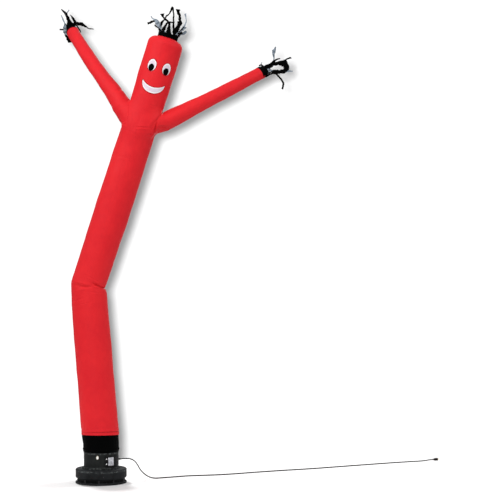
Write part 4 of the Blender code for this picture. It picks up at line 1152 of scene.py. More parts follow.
quarter = np.linspace(0, math.pi / 2, 26)
shoulder = float(interpolate(crown_start, TUBE_GIRTHS))
crown_stations = crown_start + CROWN_HEIGHT * np.sin(quarter) * 0.97
crown_radii = (NECK_RADIUS + NECK_FLARE + (shoulder - NECK_RADIUS - NECK_FLARE) * np.cos(quarter))[:, None]
a = np.radians(body_angle)
gather = (np.sin(34 * a + 2.2 * np.sin(3 * a)) * 0.6 + np.sin(21 * a + 1.0) * 0.4)
crown_radii = (crown_radii + gather * np.sin(quarter)[:, None] ** 3 * GATHER_DEPTH
               + low_waves(TUBE_WAVES, crown_stations[:, None], a))
neck_stations = HEAD_TOP + np.array([0.003, 0.008, 0.014, NECK_HEIGHT])
neck_radii = NECK_RADIUS + gather * np.array([0.0032, 0.0022, 0.0014, 0.0010])[:, None]
stations = np.concatenate([stations, crown_stations, neck_stations])
radii = np.concatenate([radii, crown_radii, neck_radii])
print("rows with crown and neck:", len(stations))

# %% [markdown]
# ### Back seam and hem
#
# The lapped edge stands off the cloth under it, and the stitches beside it pull a shallow groove. The hem
# hangs a little higher in front than at the back. A second strip of cloth could make the seam, but small
# changes of the grid do it too.

# %% Lap the seam and place the points
SEAM_RAISED = 0.0016
SEAM_GROOVE = (0.0012, 2.4)  # depth, half width in degrees
HEM_HIGHER = 0.010  # the hem hangs this much higher than the cut line, and in front
HEM_HIGHER_FRONT = 0.012  # by this much more, at the back by as much less
HEM_FADES = 0.30

lap = np.clip((body_angle - SEAM_ANGLE - 360) / SEAM_LAP, -0.3, 0)
radii = radii + SEAM_RAISED * (lap + 0.3) / 0.3
radii = radii - SEAM_GROOVE[0] * np.exp(-(away(body_angle, SEAM_ANGLE + SEAM_LAP * 0.5) / SEAM_GROOVE[1]) ** 2)
walked = walk(TUBE_START, TUBE_BENDS, stations)
body_grid = spokes(walked, np.radians(body_angle), radii)
higher = (HEM_HIGHER + HEM_HIGHER_FRONT * np.sin(np.radians(body_angle))) * hump(stations / HEM_FADES)[:, None]
body_grid = body_grid + higher[..., None] * walked[1][:, None, :]
steps = np.linalg.norm(np.diff(body_grid, axis=0), axis=-1).mean(axis=1)
length_along = np.concatenate([[0], np.cumsum(steps)])
print("body rows", len(stations), "cloth length", round(float(length_along[-1]), 3))

# %% [markdown]
# ### Turned-in edges and arm holes
#
# Cut edges fray, so hem and neck are turned in. A Solidify modifier would thicken the whole tube; here the
# grid goes on inside for a few rows. Where a sleeve is sewn on, the tube has a hole, so the quads inside it
# are left out, but for a narrow seam allowance.

# %% Build the body
FLAT_WIDTH = 2 * math.pi * 0.2165 * (1 + SEAM_LAP / 360)
TURNED_IN = 0.030
HEM_ROWS = 7
EDGE_ROWS = 4  # at the neck and the hands
EDGE_STEP = 0.004
HEM_DEPTH, NECK_DEPTH, HAND_DEPTH = 0.0022, 0.0020, 0.0018
SEAM_ALLOWANCE = 0.012
STITCHES_AND_SHADE_HALF = 0.0045
SEAM_HEIGHTS = (3.8, 4.9)  # the sleeves' seams all lie between


def outside_arms(points):
    """True where a point lies on the trunk's side of the seams, or within the seam allowance past them."""
    keep = np.ones(len(points), bool)
    near = (points[:, 2] > SEAM_HEIGHTS[0]) & (points[:, 2] < SEAM_HEIGHTS[1])
    trunk = outside_trunk(points[near])
    keep[near] = np.all([outside_arm(arm, points[near]) > trunk - SEAM_ALLOWANCE for arm in ARMS], axis=0)
    return keep


def turned_in(grid, centre, rows, step, depth):
    """Rows that go back inside from the grid's first row: each point moves in by the depth and on."""
    inward = unit(centre - grid[0])
    onward = unit(grid[1] - grid[0])
    share = np.arange(rows, 0, -1)[:, None, None]
    return grid[0] + depth * inward + onward * step * (share - 1)


hem_step = TURNED_IN / (HEM_ROWS - 1)
hem_inside = turned_in(body_grid, walked[0][0], HEM_ROWS, hem_step, HEM_DEPTH)
neck_inside = turned_in(body_grid[::-1], walked[0][-1], EDGE_ROWS, EDGE_STEP, NECK_DEPTH)[::-1]
cloth_v = np.concatenate([length_along[0] - np.arange(HEM_ROWS, 0, -1) * hem_step, length_along,
                          length_along[-1] + np.arange(1, EDGE_ROWS + 1) * EDGE_STEP])
flat = cloth_places(np.linspace(0, FLAT_WIDTH, BODY_COLUMNS)[None, :], cloth_v[:, None])
body_tube = grid_piece("body_cloth", np.concatenate([hem_inside, body_grid, neck_inside]), red_nylon,
                       flat, closed=False, keep=outside_arms)
# Painted shade: the dark red band along the hem's stitches is partly thread, partly the stitched groove's shade.
stitches_and_shade = np.exp(-((stations - HEM) / STITCHES_AND_SHADE_HALF) ** 2)
mark(body_tube, np.repeat(np.pad(stitches_and_shade, (HEM_ROWS, EDGE_ROWS)), BODY_COLUMNS))
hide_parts("body_tube")

# %% [markdown]
# ## Sleeves
#
# A sleeve is a tapering tube whose first edge follows the trunk's round surface. A Boolean modifier would
# leave ragged quads there, so for each column of the sleeve's grid the place where it comes out of the trunk
# is found first. The column's rows are then spread from there to the hand.

# %% Find a sleeve's seam
SLEEVE_COLUMNS = 132
SEAM_SEARCH = (0.02, 0.62, 121)


def sleeve_points(arm, angle, station, ripples=0.0):
    """Points round a sleeve: its oval's radius at each angle, plus ripples, plus the lift of the blend."""
    wide, deep = arm_radius(arm, station), arm_depth(arm, station)
    oval = wide * deep / np.hypot(deep * np.cos(angle), wide * np.sin(angle))
    centres, _, across, front = walk(arm.start, arm.bends, station.ravel())
    turn = np.broadcast_to(angle, station.shape).ravel()
    spoke = np.cos(turn)[:, None] * across + np.sin(turn)[:, None] * front
    radii, lift = (oval + ripples).ravel(), np.zeros(station.size)
    near = station.ravel() < ARM_SEARCH[1]
    for _ in range(ROUNDS):
        points = centres[near] + (radii + lift)[near, None] * spoke[near]
        lift[near] = bridge(outside_arm(arm, points), outside_trunk(points), points)
    return (centres + (radii + lift)[:, None] * spoke).reshape(*station.shape, 3)


def sleeve_start(arm, angle):
    """The distance along the arm at which each column passes the seam, equally far from both tubes, and
    evened out over seven columns."""
    where = np.linspace(*SEAM_SEARCH)
    station = np.repeat(where[:, None], len(angle), axis=1)
    points = sleeve_points(arm, angle[None, :], station).reshape(-1, 3)
    ahead = (outside_trunk(points) - outside_arm(arm, points)).reshape(station.shape)
    last = len(where) - 1 - np.argmax((ahead < 0)[::-1], axis=0)
    low = ahead[last, np.arange(len(angle))]
    high = ahead[np.minimum(last + 1, len(where) - 1), np.arange(len(angle))]
    start = where[last] + (where[1] - where[0]) * low / (low - high)
    return np.convolve(np.pad(start, 3, mode="wrap"), np.ones(7) / 7, mode="valid")


sleeve_angle = round_turn(SLEEVE_COLUMNS)
seams = {arm.name: sleeve_start(arm, sleeve_angle) for arm in ARMS}
for name, begin in seams.items():
    print(name, "sleeve leaves the trunk between", begin.min().round(3), "and", begin.max().round(3))

# %% [markdown]
# ### A sleeve's creases, and sewing it on
#
# A sleeve has low waves like the trunk's, a lip at its seam, a soft crease inside the elbow, and small
# puckers at the hand, where the streamers' band pulls on it. Sculpting would do, but added to the radius
# they stay in step with its size, and the trunk's puckers run on over the first part.

# %% Sew the sleeves on
SLEEVE_ROWS = 150
LIP = 0.0006
ELBOW = (0.0060, 0.016, 120)  # depth, half width, degrees that it reaches round
HAND_PUCKERS = 0.0010


def sleeve(arm, angle, begin):
    """The sleeve's grid and its flat cloth: column by column from the trunk to the hand."""
    share = np.linspace(0, 1, SLEEVE_ROWS) ** 1.25
    station = begin[None, :] + share[:, None] * (arm.length - begin)[None, :]
    from_root = station - begin[None, :]
    lip = LIP * (np.exp(-(from_root / 0.005) ** 2) - np.exp(-((from_root - 0.010) / 0.004) ** 2))
    waves = (0.0012, 11, 2, arm.phase), (0.0009, 23, -3, 0), (0.0006, 41, 1, arm.phase)
    waves = low_waves(waves, station, angle) * np.clip(from_root / 0.10, 0.2, 1)
    off = away(np.degrees(angle), arm.inside)[None, :] / ELBOW[2]
    elbow = ELBOW[0] * np.exp(-((station - arm.elbow - 0.03 * off**2) / ELBOW[1]) ** 2) * hump(off)
    hem = HAND_PUCKERS * np.sin(30 * angle + arm.phase) * np.exp(-((arm.length - station) / 0.02) ** 2)
    ripples = lip + waves - elbow + hem
    grid = sleeve_points(arm, angle[None, :], station, ripples)
    more = puckers(grid.reshape(-1, 3)).reshape(station.shape)
    grid = sleeve_points(arm, angle[None, :], station, ripples + more)
    round_way = np.linspace(-0.5, 0.5, SLEEVE_COLUMNS + 1)[None, :] * 2 * math.pi * arm_radius(arm, station[:, :1])
    along_way = np.concatenate([station, station[:, :1]], axis=1)
    return grid, np.stack([round_way, along_way], axis=-1)


for arm in ARMS:
    grid, flat = sleeve(arm, sleeve_angle, seams[arm.name])
    inside = turned_in(grid[::-1], grid[-1].mean(axis=0), EDGE_ROWS, EDGE_STEP, HAND_DEPTH)[::-1]
    more = flat[-1:] + np.array((0, EDGE_STEP)) * np.arange(1, EDGE_ROWS + 1)[:, None, None]
    grid_piece("sleeve_" + arm.name, np.concatenate([grid, inside]), red_nylon,
                                   np.concatenate([flat, more]))
    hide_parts("arm_" + arm.name)

# %% [markdown]
# ## The cuff
#
# The tube doesn't grip the barrel itself: a black cuff does, sewn inside the hem, with a drawcord near its
# lower edge. A ring of its own would stay hidden, so the cord is only in the cuff's shape, which bulges over
# it and gathers above and below.

# %% Make the cuff
CUFF_PROFILE = (  # height, inner radius, how far the centre has moved towards -X
    (0.374, 0.2088, 0.001), (0.384, 0.2120, 0.001), (0.400, 0.2145, 0.001), (0.412, 0.2145, 0.001),
    (0.424, 0.2112, 0.001), (0.470, 0.2125, 0.002), (0.540, 0.2165, 0.010), (0.585, 0.2182, 0.012),
    (0.602, 0.2182, 0.013),
)
CUFF_THICK = 0.002
CUFF_COLUMNS = 180
CUFF_RIPPLES = (  # middle height, half height, depth
    (0.40, 0.07, 0.0020), (0.50, 0.09, 0.0014),
)
DRAWCORD = (0.406, 0.010, 0.0030)
CUFF_SEWN_RADIUS = 0.213

profile = np.array(CUFF_PROFILE)
heights = np.concatenate([np.linspace(0.374, 0.43, 34), np.linspace(0.435, 0.602, 36)])[:, None]
angle = round_turn(CUFF_COLUMNS)
shift = np.interp(heights, profile[:, 0], profile[:, 2])
folds = np.sin(27 * angle + 2.5 * np.sin(4 * angle)) * 0.5 + np.sin(44 * angle + 1) * 0.3
rippled = sum(depth * hump((heights - middle) / half) for middle, half, depth in CUFF_RIPPLES)
cord_bulge = DRAWCORD[2] * hump((heights - DRAWCORD[0]) / DRAWCORD[1])
cuff_radii = np.interp(heights, profile[:, 0], profile[:, 1]) + CUFF_THICK + folds * rippled + cord_bulge
cuff_grid = np.stack([cuff_radii * np.cos(angle) - shift, -cuff_radii * np.sin(angle),
                      np.broadcast_to(heights, cuff_radii.shape)], axis=-1)
flat = cloth_places((np.linspace(0, 1, CUFF_COLUMNS + 1) * 2 * math.pi * CUFF_SEWN_RADIUS)[None, :], heights)
cuff = grid_piece("cuff_cloth", cuff_grid, black_nylon, flat)
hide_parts("cuff")

# %% [markdown]
# ## The face
#
# Eyes, pupils and smile are nylon, sewn flat on the head. A Shrinkwrap modifier would stretch them, so a
# point of a patch is given by two lengths on the head's surface, round it and up it, from the face's middle.
# A patch is rings from its middle to its outline, and the last ones curl down to the head. White nylon lets
# a little red through, but not at its turned-in border.

# %% Place patches on the head
FACE_LIFT = 0.0007
FACE_CLOTH = 0.0012
PATCH_BORDER = 0.0007
PUPIL_GAP = 0.0003
STITCH_HALF = 0.0050
STITCH_HIGH = 0.0022
RIM_OUT = 0.003  # how far outside a patch its stitches run
FACE_CENTRE = 4.487
FACE_TURN = 5.0
EYE_SPREAD = 0.094
EYES_ASIDE = 0.010
EYE_RISE = 0.051
EYE_HALF = (0.0535, 0.0725)
PUPIL_ASIDE = -0.001
PUPIL_DROP = 0.029
PUPIL_HALF = (0.036, 0.044)


def on_head(round_way, up, lift):
    """Points on the head: at distance FACE_CENTRE + up, turned by round_way / radius from the front."""
    shape = np.broadcast(round_way, up, lift).shape
    round_way, up, lift = (np.broadcast_to(x, shape).ravel() for x in (round_way, up, lift))
    distance = FACE_CENTRE + up
    centres, _, across, front = walk(TUBE_START, TUBE_BENDS, distance)
    plain = interpolate(distance, TUBE_GIRTHS)
    turn = round_way / plain + math.radians(FACE_TURN)
    angle = 90 - np.degrees(turn)
    radius = tube_radius(distance, angle) + lift
    points = centres + radius[:, None] * (np.sin(turn)[:, None] * across + np.cos(turn)[:, None] * front)
    return points.reshape(*shape, 3)


def patch_profile(share):
    """Height over the head at each share of the way from the middle to the rim: flat, a padded border of
    stitches near the rim, then down to the cloth."""
    border = PATCH_BORDER * hump((share - 0.95) / 0.07)
    return (FACE_CLOTH + border) * np.clip((1.0 - share) / 0.012, 0, 1) ** 0.5


def oval_patch(name, centre, half, lift, finish, columns=96):
    """Rings at shares of the way from the centre to an oval outline, with the profile's height."""
    share = np.concatenate([[0.0], np.linspace(0.08, 0.90, 12), np.linspace(0.91, 1.0, 14)])[:, None]
    turn = round_turn(columns)[None, :]
    x, y = centre[0] + share * half[0] * np.cos(turn), centre[1] + share * half[1] * np.sin(turn)
    grid = on_head(x, y, lift + patch_profile(share))
    last = np.concatenate([turn, [[2 * math.pi]]], axis=1)
    flat = np.stack([share * half[0] * np.cos(last), share * half[1] * np.sin(last)], axis=-1)
    made = grid_piece(name, grid, finish, flat)
    mark(made, np.repeat(np.clip((share - 0.72) / 0.14, 0, 1), columns))
    return made


def stitching(name, outline):
    """A low cord of stitches along a closed outline: outline + s * half width * its normal, s from -1 to 1,
    and height * the square root of (1 - s squared), in short slanted bundles of thread."""
    onward = unit(np.roll(outline, -1, axis=0) - np.roll(outline, 1, axis=0))
    normal = np.stack([onward[:, 1], -onward[:, 0]], axis=-1)
    s = np.linspace(-1, 1, 9)[:, None]
    places = outline[None] + s[..., None] * STITCH_HALF * normal[None]
    run = run_along(outline, append=outline[:1])
    bundles = 1 + 0.25 * np.cos(2 * math.pi * (run[None, :-1] / 0.0045 + 0.35 * s))
    grid = on_head(places[..., 0], places[..., 1], FACE_LIFT + STITCH_HIGH * np.sqrt(1 - s**2) * bundles)
    return grid_piece(name, grid, red_thread, cloth_places(run[None, :], s * STITCH_HALF))


eye_pieces = []
for side, sign in (("left", -1), ("right", 1)):
    eye = (EYES_ASIDE + sign * EYE_SPREAD, EYE_RISE)
    pupil = (eye[0] + PUPIL_ASIDE, eye[1] - PUPIL_DROP)
    white = oval_patch("eye_patch_" + side, eye, EYE_HALF, FACE_LIFT, white_nylon)
    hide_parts("eye_" + side)
    black = oval_patch("pupil_patch_" + side, pupil, PUPIL_HALF, FACE_LIFT + FACE_CLOTH + PUPIL_GAP,
                       black_nylon)
    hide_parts("pupil_" + side)
    turn = round_turn(240)
    rim = np.stack([eye[0] + (EYE_HALF[0] + RIM_OUT) * np.cos(turn),
                    eye[1] + (EYE_HALF[1] + RIM_OUT) * np.sin(turn)], axis=-1)
    eye_pieces += [white, black, stitching("eye_stitching_" + side, rim)]

# %% [markdown]
# ### The smile
#
# The mouth is a crescent between a shallow curve and half an oval. Rings would crowd in its corners, so its
# grid runs from corner to corner, and across from the upper edge to the lower; both come down to the head.

# %% Cut the smile
SMILE_HALF_WIDTH = 0.146
SMILE_CORNERS = -0.139
SMILE_UPPER_SAG = 0.060
SMILE_LOWER_SAG = 0.133
SMILE_BORDER = 0.0006

across = -np.cos(np.linspace(0, math.pi, 121))[:, None]
rows = np.concatenate([np.linspace(0, 0.12, 8), np.linspace(0.16, 0.84, 12), np.linspace(0.88, 1, 8)])[None, :]
upper = SMILE_CORNERS - SMILE_UPPER_SAG * (1 - across**2)
lower = SMILE_CORNERS - SMILE_LOWER_SAG * np.sqrt(np.clip(1 - across**2, 0, 1))
up = upper + (lower - upper) * rows
from_edge = np.minimum(rows, 1 - rows) * (upper - lower)
from_edge = np.minimum(from_edge, (1 - np.abs(across)) * SMILE_HALF_WIDTH * 2)
height = FACE_CLOTH + SMILE_BORDER * hump((from_edge - 0.004) / 0.004)
height = height * np.clip(from_edge / 0.0009, 0, 1) ** 0.5
smile = grid_piece("smile_patch", on_head(across * SMILE_HALF_WIDTH, up, FACE_LIFT + height), white_nylon,
                   cloth_places(across * SMILE_HALF_WIDTH, up), closed=False)
mark(smile, 1 - np.clip((from_edge - 0.010) / 0.008, 0, 1))
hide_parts("smile")
low_line = np.stack([across[:, 0] * SMILE_HALF_WIDTH * 1.02, lower[:, 0] - RIM_OUT], axis=-1)
high_line = np.stack([across[::-1, 0] * SMILE_HALF_WIDTH * 1.02, upper[::-1, 0] + RIM_OUT], axis=-1)
smile_stitching = stitching("smile_stitching", np.concatenate([low_line, high_line]))

# %% [markdown]
# ## Streamers
#
# Round the neck and each hand runs a gathered band, cut into ribbons that blow about. In a force field they
# would end up anywhere, so a ribbon's middle line goes through a few given places, and its broad side
# faces the front, unless the row turns it. A ribbon is torn rather than cut: its two edges wander, it is
# cupped across, and it crumples more away from its root.

# %% Make one ribbon
Ribbon = namedtuple("Ribbon", "column route depth widths turns shade", defaults=((0, 0), 0.0))
RIBBON_STEP = 0.005
RIBBON_ACROSS = 9
RIBBON_THICK = 0.0007
BROAD = 0.03  # ribbons from this width on move fully
ASIDE, FOLD, CRUMPLE = 0.0035, 0.0016, 0.0045
CUP, TORN = 0.30, 0.20  # shares of the width
TO_FRONT = (0.0, -1.0, 0.0)
draws = np.random.default_rng(20)


def wander(stations, wavelength):
    """A smooth random line within -1 and 1: three sines, each shorter and lower than the one before."""
    phases = draws.uniform(0, 2 * math.pi, 3)
    return sum(share * np.sin(2 * math.pi * often * stations / wavelength + phase)
               for share, often, phase in zip((0.55, 0.30, 0.15), (1.0, 2.3, 4.1), phases))


def ribbon_grid(root, root_side, root_width, middle, ribbon):
    """Rows of points across a ribbon: line + across * width * side + lift * normal. The side is square to
    the line and to the front, turned by the row's degrees; the lift is a cup and a crumple of sines."""
    route = np.array(ribbon.route) / 1000
    depths = np.linspace(*np.array(ribbon.depth) / 1000, len(route))
    places = np.vstack([root, middle + np.stack([route[:, 0], depths, route[:, 1]], axis=-1)])
    line, passed = curve_through(places, RIBBON_STEP)
    stations = RIBBON_STEP * np.arange(len(line))
    along = unit(np.gradient(line, axis=0))
    turns = np.interp(passed, np.linspace(0, len(route), len(ribbon.turns)), ribbon.turns)
    turns = np.radians(turns)[:, None]
    level = unit(np.cross(along, TO_FRONT))
    wanted = np.cos(turns) * level + np.sin(turns) * np.cross(along, level)
    root_side = root_side * (1 if np.dot(wanted[0], root_side) >= 0 else -1)
    grown = np.clip(stations / 0.04, 0, 1)[:, None]
    sides = (1 - grown) * root_side + grown * wanted
    sides = unit(sides - np.sum(sides * along, axis=1, keepdims=True) * along)
    normals = np.cross(along, sides)
    widths = np.interp(passed, np.arange(len(route) + 1), (root_width, *np.array(ribbon.widths) / 1000))[:, None]
    across = np.linspace(-0.5, 0.5, RIBBON_ACROSS)[None, :]
    torn = np.where(across < 0, wander(stations, 0.06)[:, None], wander(stations, 0.05)[:, None])
    loose = grown * np.clip(widths / BROAD, 0.4, 1)
    aside = ASIDE * loose * wander(stations, 0.08)[:, None]
    fold = FOLD * np.sin(9 * across + 3 * wander(stations, 0.06)[:, None])
    cup = CUP * widths * (0.25 - across**2) * wander(stations, 0.13)[:, None]
    lift = loose * (CRUMPLE * wander(stations, 0.045)[:, None] + fold) + cup
    slant = np.clip((stations - stations[-1]) / 0.03 + 1, 0, 1)[:, None] * draws.uniform(-0.4, 0.4)
    sideways = aside + across * widths * (1 + TORN * loose * torn)
    grid = (line[:, None, :] + sideways[..., None] * sides[:, None, :] + lift[..., None] * normals[:, None, :]
            + (slant * across * widths)[..., None] * along[:, None, :])
    flat = cloth_places(across * widths + ribbon.column * 0.04, stations[:, None])
    # Painted shade: a ribbon's shade share darkens it in patches and towards one edge.
    patchy = 0.6 + 0.6 * wander(stations, 0.05)[:, None] + 0.5 * across
    dark = np.broadcast_to(np.clip(ribbon.shade * patchy, 0, 1), flat.shape[:2])
    return grid, flat, dark, float(np.mean(widths)) * stations[-1]


print("a row of", RIBBON_ACROSS, "points each", RIBBON_STEP * 1000, "mm of ribbon")

# %% [markdown]
# ### A band and its ribbons
#
# Band and ribbons are one piece of cloth. Single objects would come apart, so all are one mesh: the band's
# grid, and a grid for each ribbon that starts on the band's top edge. A Solidify modifier then gives the
# cloth its thickness, since both of its sides are seen.

# %% Make a fringe
BAND_ROWS = 22
BAND_FINE = 6  # the band's points to each place for a ribbon
BAND_GATHERS = 0.0012


def band_grid(start, bends, stations, radii, columns):
    """A gathered tube: its radius at each station, plus sines that grow towards the band's end."""
    around = round_turn(columns * BAND_FINE)
    rows = np.linspace(0, 1, BAND_ROWS)
    where = np.interp(rows, np.linspace(0, 1, len(stations)), stations)
    radius = np.interp(where, stations, radii)[:, None]
    gather = np.sin(columns * 1.5 * around + 2 * np.sin(3 * around)) * BAND_GATHERS * (0.3 + 0.7 * rows[:, None])
    band = spokes(walk(start, bends, where), np.broadcast_to(around, (len(rows), len(around))), radius + gather)
    u = np.linspace(0, 2 * math.pi * radii[0], len(around) + 1)
    return band, cloth_places(u[None, :], where[:, None])


def fringe(name, start, bends, stations, radii, columns, ribbons, finish):
    """One mesh of a band and its ribbons, each of which starts on the chord of one of its columns."""
    band, cloth = band_grid(start, bends, stations, radii, columns)
    grids = [(band, cloth, np.zeros(band.shape[:2]), True)]
    ending = walk(start, bends, stations[-1:])
    top = spokes(ending, round_turn(columns)[None, :], np.full((1, columns), radii[-1]))[0]
    area = 2 * math.pi * float(np.mean(radii)) * (stations[-1] - stations[0])
    for ribbon in (Ribbon(*row) for row in ribbons):
        a, b = top[ribbon.column % columns], top[(ribbon.column + 1) % columns]
        width = float(np.linalg.norm(b - a))
        grid, cloth, dark, share = ribbon_grid((a + b) / 2, (b - a) / width, width, ending[0][0], ribbon)
        grids.append((grid, cloth, dark, False))
        area += share
    faces, corners, count = [], [], 0
    for grid, cloth, _, closed in grids:
        quads, corner_rows, corner_columns = grid_faces(*grid.shape[:2], closed)
        faces.append(quads + count)
        corners.append(cloth[corner_rows, corner_columns])
        count += grid.shape[0] * grid.shape[1]
    thing = make_piece(name, np.concatenate([grid[0].reshape(-1, 3) for grid in grids]), np.concatenate(faces),
                       finish, np.concatenate(corners))
    mark(thing, np.concatenate([grid[2].ravel() for grid in grids]))
    wall = thing.modifiers.new("cloth", "SOLIDIFY")
    wall.thickness = RIBBON_THICK
    wall.offset = 0.0
    return thing, area


# %% [markdown]
# ### The ribbons' tables
#
# Each row is one ribbon, in millimetres: the band's column it starts on, the places its middle line goes
# through, as (to the right, up) from the middle of the band's end, how far back its first place and its tip
# are, and its width at each place. Some rows also say how the broad side turns away from the front, in
# degrees, and how much painted shade it has, in patches and darker towards one edge. Random rows would be
# shorter, but wouldn't look like this figure.

# %% The ribbons of the head
HEAD_RIBBONS = {"black": (
    (11, ((-113, 84), (-128, 126), (-170, 154), (-210, 139), (-250, 122)), (-20, -50), (20, 22, 26, 29, 26),
     (10, 25, 0)),
    (10, ((-96, 65), (-89, 99), (-78, 132), (-54, 155), (-36, 170)), (-50, -100), (20, 27, 32, 18, 14)),
    (9, ((-99, 47), (-130, 67), (-161, 90)), (-130, -160), (10, 12, 25), (0, 10)),
    (8, ((-55, 55), (-35, 88), (-12, 120), (4, 133)), (-80, -100), (46, 26, 24, 24)),
    (6, ((7, 59), (12, 96), (16, 122), (55, 126)), (-100, -120), (40, 26, 28, 14)),
    (5, ((11, 67), (15, 108), (-9, 143), (-37, 166), (-59, 188), (-68, 225)), (-100, -160),
     (30, 24, 22, 26, 16, 60)),
    (3, ((62, 67), (62, 161), (61, 256), (47, 311), (31, 265), (9, 228), (-20, 203), (-36, 171)), (-60, -120),
     (26, 19, 16, 28, 20, 12, 20, 14)),
    (2, ((70, 29), (94, 60), (124, 88), (142, 119), (139, 161), (132, 220), (119, 258), (113, 289)), (-60, -80),
     (32, 40, 42, 42, 32, 30, 36, 53)),
    (2, ((120, 92), (119, 127), (114, 148)), (-50, -60), (30, 24, 16)),
    (1, ((138, 5), (166, 14)), (-60, -70), (36, 32)),
    (1, ((138, 22), (167, 45), (189, 72)), (-110, -130), (12, 18, 10)),
    (0, ((140, 3), (155, 8)), (0, 0), (30, 24)),
    (15, ((-76, 65), (-71, 93)), (100, 140), (34, 20)),
    (18, ((5, 63), (0, 99)), (130, 180), (30, 20)),
    (21, ((82, 64), (102, 91)), (80, 120), (30, 22)),
), "silver": (
    (10, ((-85, 42), (-99, 67), (-120, 102), (-132, 134), (-165, 161), (-188, 176), (-204, 201)), (-100, -120),
     (14, 26, 56, 54, 20, 11, 11), (0, 0), .35),
    (1, ((138, 32), (164, 60), (193, 96), (210, 133), (213, 169), (207, 205), (200, 239)), (-50, -60),
     (12, 16, 18, 13, 10, 14, 26)),
    (2, ((146, 29), (177, 54), (202, 77)), (-80, -90), (18, 40, 36), (0, 10), .4),
    (0, ((144, -3), (180, 8), (216, 29)), (-30, -30), (20, 38, 22), (0, 0), .2),
    (16, ((-72, 68), (-69, 90)), (120, 150), (30, 16)),
    (20, ((66, 54), (82, 78)), (100, 130), (30, 20)),
)}

print(sum(map(len, HEAD_RIBBONS.values())), "ribbons on the head")

# %% [markdown]
# ### The hands' ribbons
#
# A hand's ribbons are broader at the root and overlap more. Those of the left hand stand up and fall over
# outwards; those of the right hand stream away from the wrist and curl under.

# %% The ribbons of the hands
LEFT_HAND_RIBBONS = {"black": (
    (4, ((-2, 46), (-19, 95), (-40, 155), (-72, 199), (-109, 233)), (-30, -50), (74, 44, 34, 28, 9)),
    (2, ((4, 41), (-7, 78)), (-30, -30), (60, 30)),
    (6, ((-30, 26), (-27, 70)), (-40, -30), (50, 30)),
    (1, ((40, 49), (78, 59), (126, 52), (166, 38), (201, 14), (230, -5), (261, -11), (298, -15)), (-20, -60),
     (34, 36, 48, 36, 20, 12, 15, 8)),
    (0, ((57, 69), (50, 97), (27, 132), (-2, 173)), (20, 0), (30, 36, 26, 6)),
    (7, ((-62, -19), (-92, -20), (-128, -21)), (-60, -60), (22, 19, 17)),
    (8, ((-46, -51), (-54, -74), (-33, -119), (-9, -160), (6, -190)), (-50, -120), (20, 22, 32, 39, 39)),
    (15, ((77, 35), (100, 7), (123, -31), (139, -59)), (-50, -80), (16, 16, 16, 10)),
    (12, ((8, 53), (15, 89)), (60, 110), (26, 22), (0, 30)),
), "silver": (
    (4, ((-17, 80), (-41, 159), (-41, 186), (-13, 230)), (-10, -20), (12, 12, 12, 14)),
    (7, ((-58, 27), (-70, 70), (-90, 112), (-109, 157)), (-30, -50), (26, 14, 18, 11), (0, 0), .5),
    (6, ((-57, 40), (-64, -2), (-63, -47), (-45, -86)), (-50, -90), (28, 38, 36, 18), (0, 0), 1),
    (12, ((-11, 50), (-6, 85)), (70, 120), (22, 16), (0, 30)),
)}
RIGHT_HAND_RIBBONS = {"black": (
    (5, ((35, 38), (89, 65), (150, 76), (204, 73), (238, 51), (252, 12), (223, -24), (168, -33), (110, -33),
     (83, -34)), (-60, -160), (60, 46, 46, 68, 68, 60, 52, 48, 48, 40)),
    (6, ((4, 32), (38, 50), (75, 64)), (-30, -50), (64, 54, 36)),
    (4, ((59, 66), (108, 109), (144, 130), (179, 135)), (-50, -70), (32, 24, 18, 12)),
    (7, ((54, 64), (134, 89), (204, 107), (259, 134), (310, 157)), (0, -20), (24, 24, 24, 17, 26)),
    (8, ((103, 89), (194, 97), (244, 101), (264, 63), (281, 13)), (0, -40), (20, 30, 36, 32, 24)),
    (0, ((0, -78), (41, -59), (90, -41), (130, -53), (170, -97), (209, -151), (214, -196), (200, -244)), (-20, -120),
     (22, 22, 20, 20, 22, 22, 24, 22)),
    (2, ((28, -44), (62, -31), (101, -30)), (-70, -100), (14, 14, 28)),
    (9, ((-32, 52), (-59, 64), (-82, 53)), (0, 0), (22, 20, 14)),
    (12, ((5, 24), (35, 47)), (60, 110), (34, 24), (0, 30)),
    (10, ((8, 38), (45, 65)), (50, 100), (34, 26), (0, 20)),
), "silver": (
    (6, ((53, 66), (101, 127), (97, 181), (102, 229), (125, 282)), (-30, -60), (14, 12, 26, 46, 10), (0, 0), .6),
    (1, ((48, -7), (102, -17), (175, -22), (249, -17), (330, -16)), (-50, -50), (26, 18, 18, 26, 14), (0, 0), .2),
    (3, ((16, 2), (50, 14)), (-50, -60), (22, 14)),
    (8, ((-57, 69), (-41, 105)), (0, 0), (12, 7)),
    (12, ((10, 13), (37, 30)), (50, 90), (22, 14), (0, 20)),
)}

for table in (LEFT_HAND_RIBBONS, RIGHT_HAND_RIBBONS):
    print(sum(map(len, table.values())), "ribbons on a hand")

# %% [markdown]
# ### Sewing the fringes on
#
# On each edge the black band goes outside the cloth and the silver one inside it, each a hair away. Joined
# to the cloth they couldn't be told from it. A hand's bands taper, drawn together over the sleeve's end.

# %% Sew the fringes on
BAND_CLOTH = 0.0012
CLOTH_INSIDE = 0.002  # how far in the turned-in edge lies
HEAD_BAND_HEIGHT = 0.058
HEAD_BAND_CLEAR = 0.0005
HAND_BAND_CLEAR = 0.0004
HAND_BANDS = {  # overlap, height, width at its end, ribbons
    "left": (0.015, 0.085, 0.62, LEFT_HAND_RIBBONS), "right": (0.033, 0.067, 0.70, RIGHT_HAND_RIBBONS),
}
HEAD_COLUMNS = 24
HAND_COLUMNS = 16

fringes = []


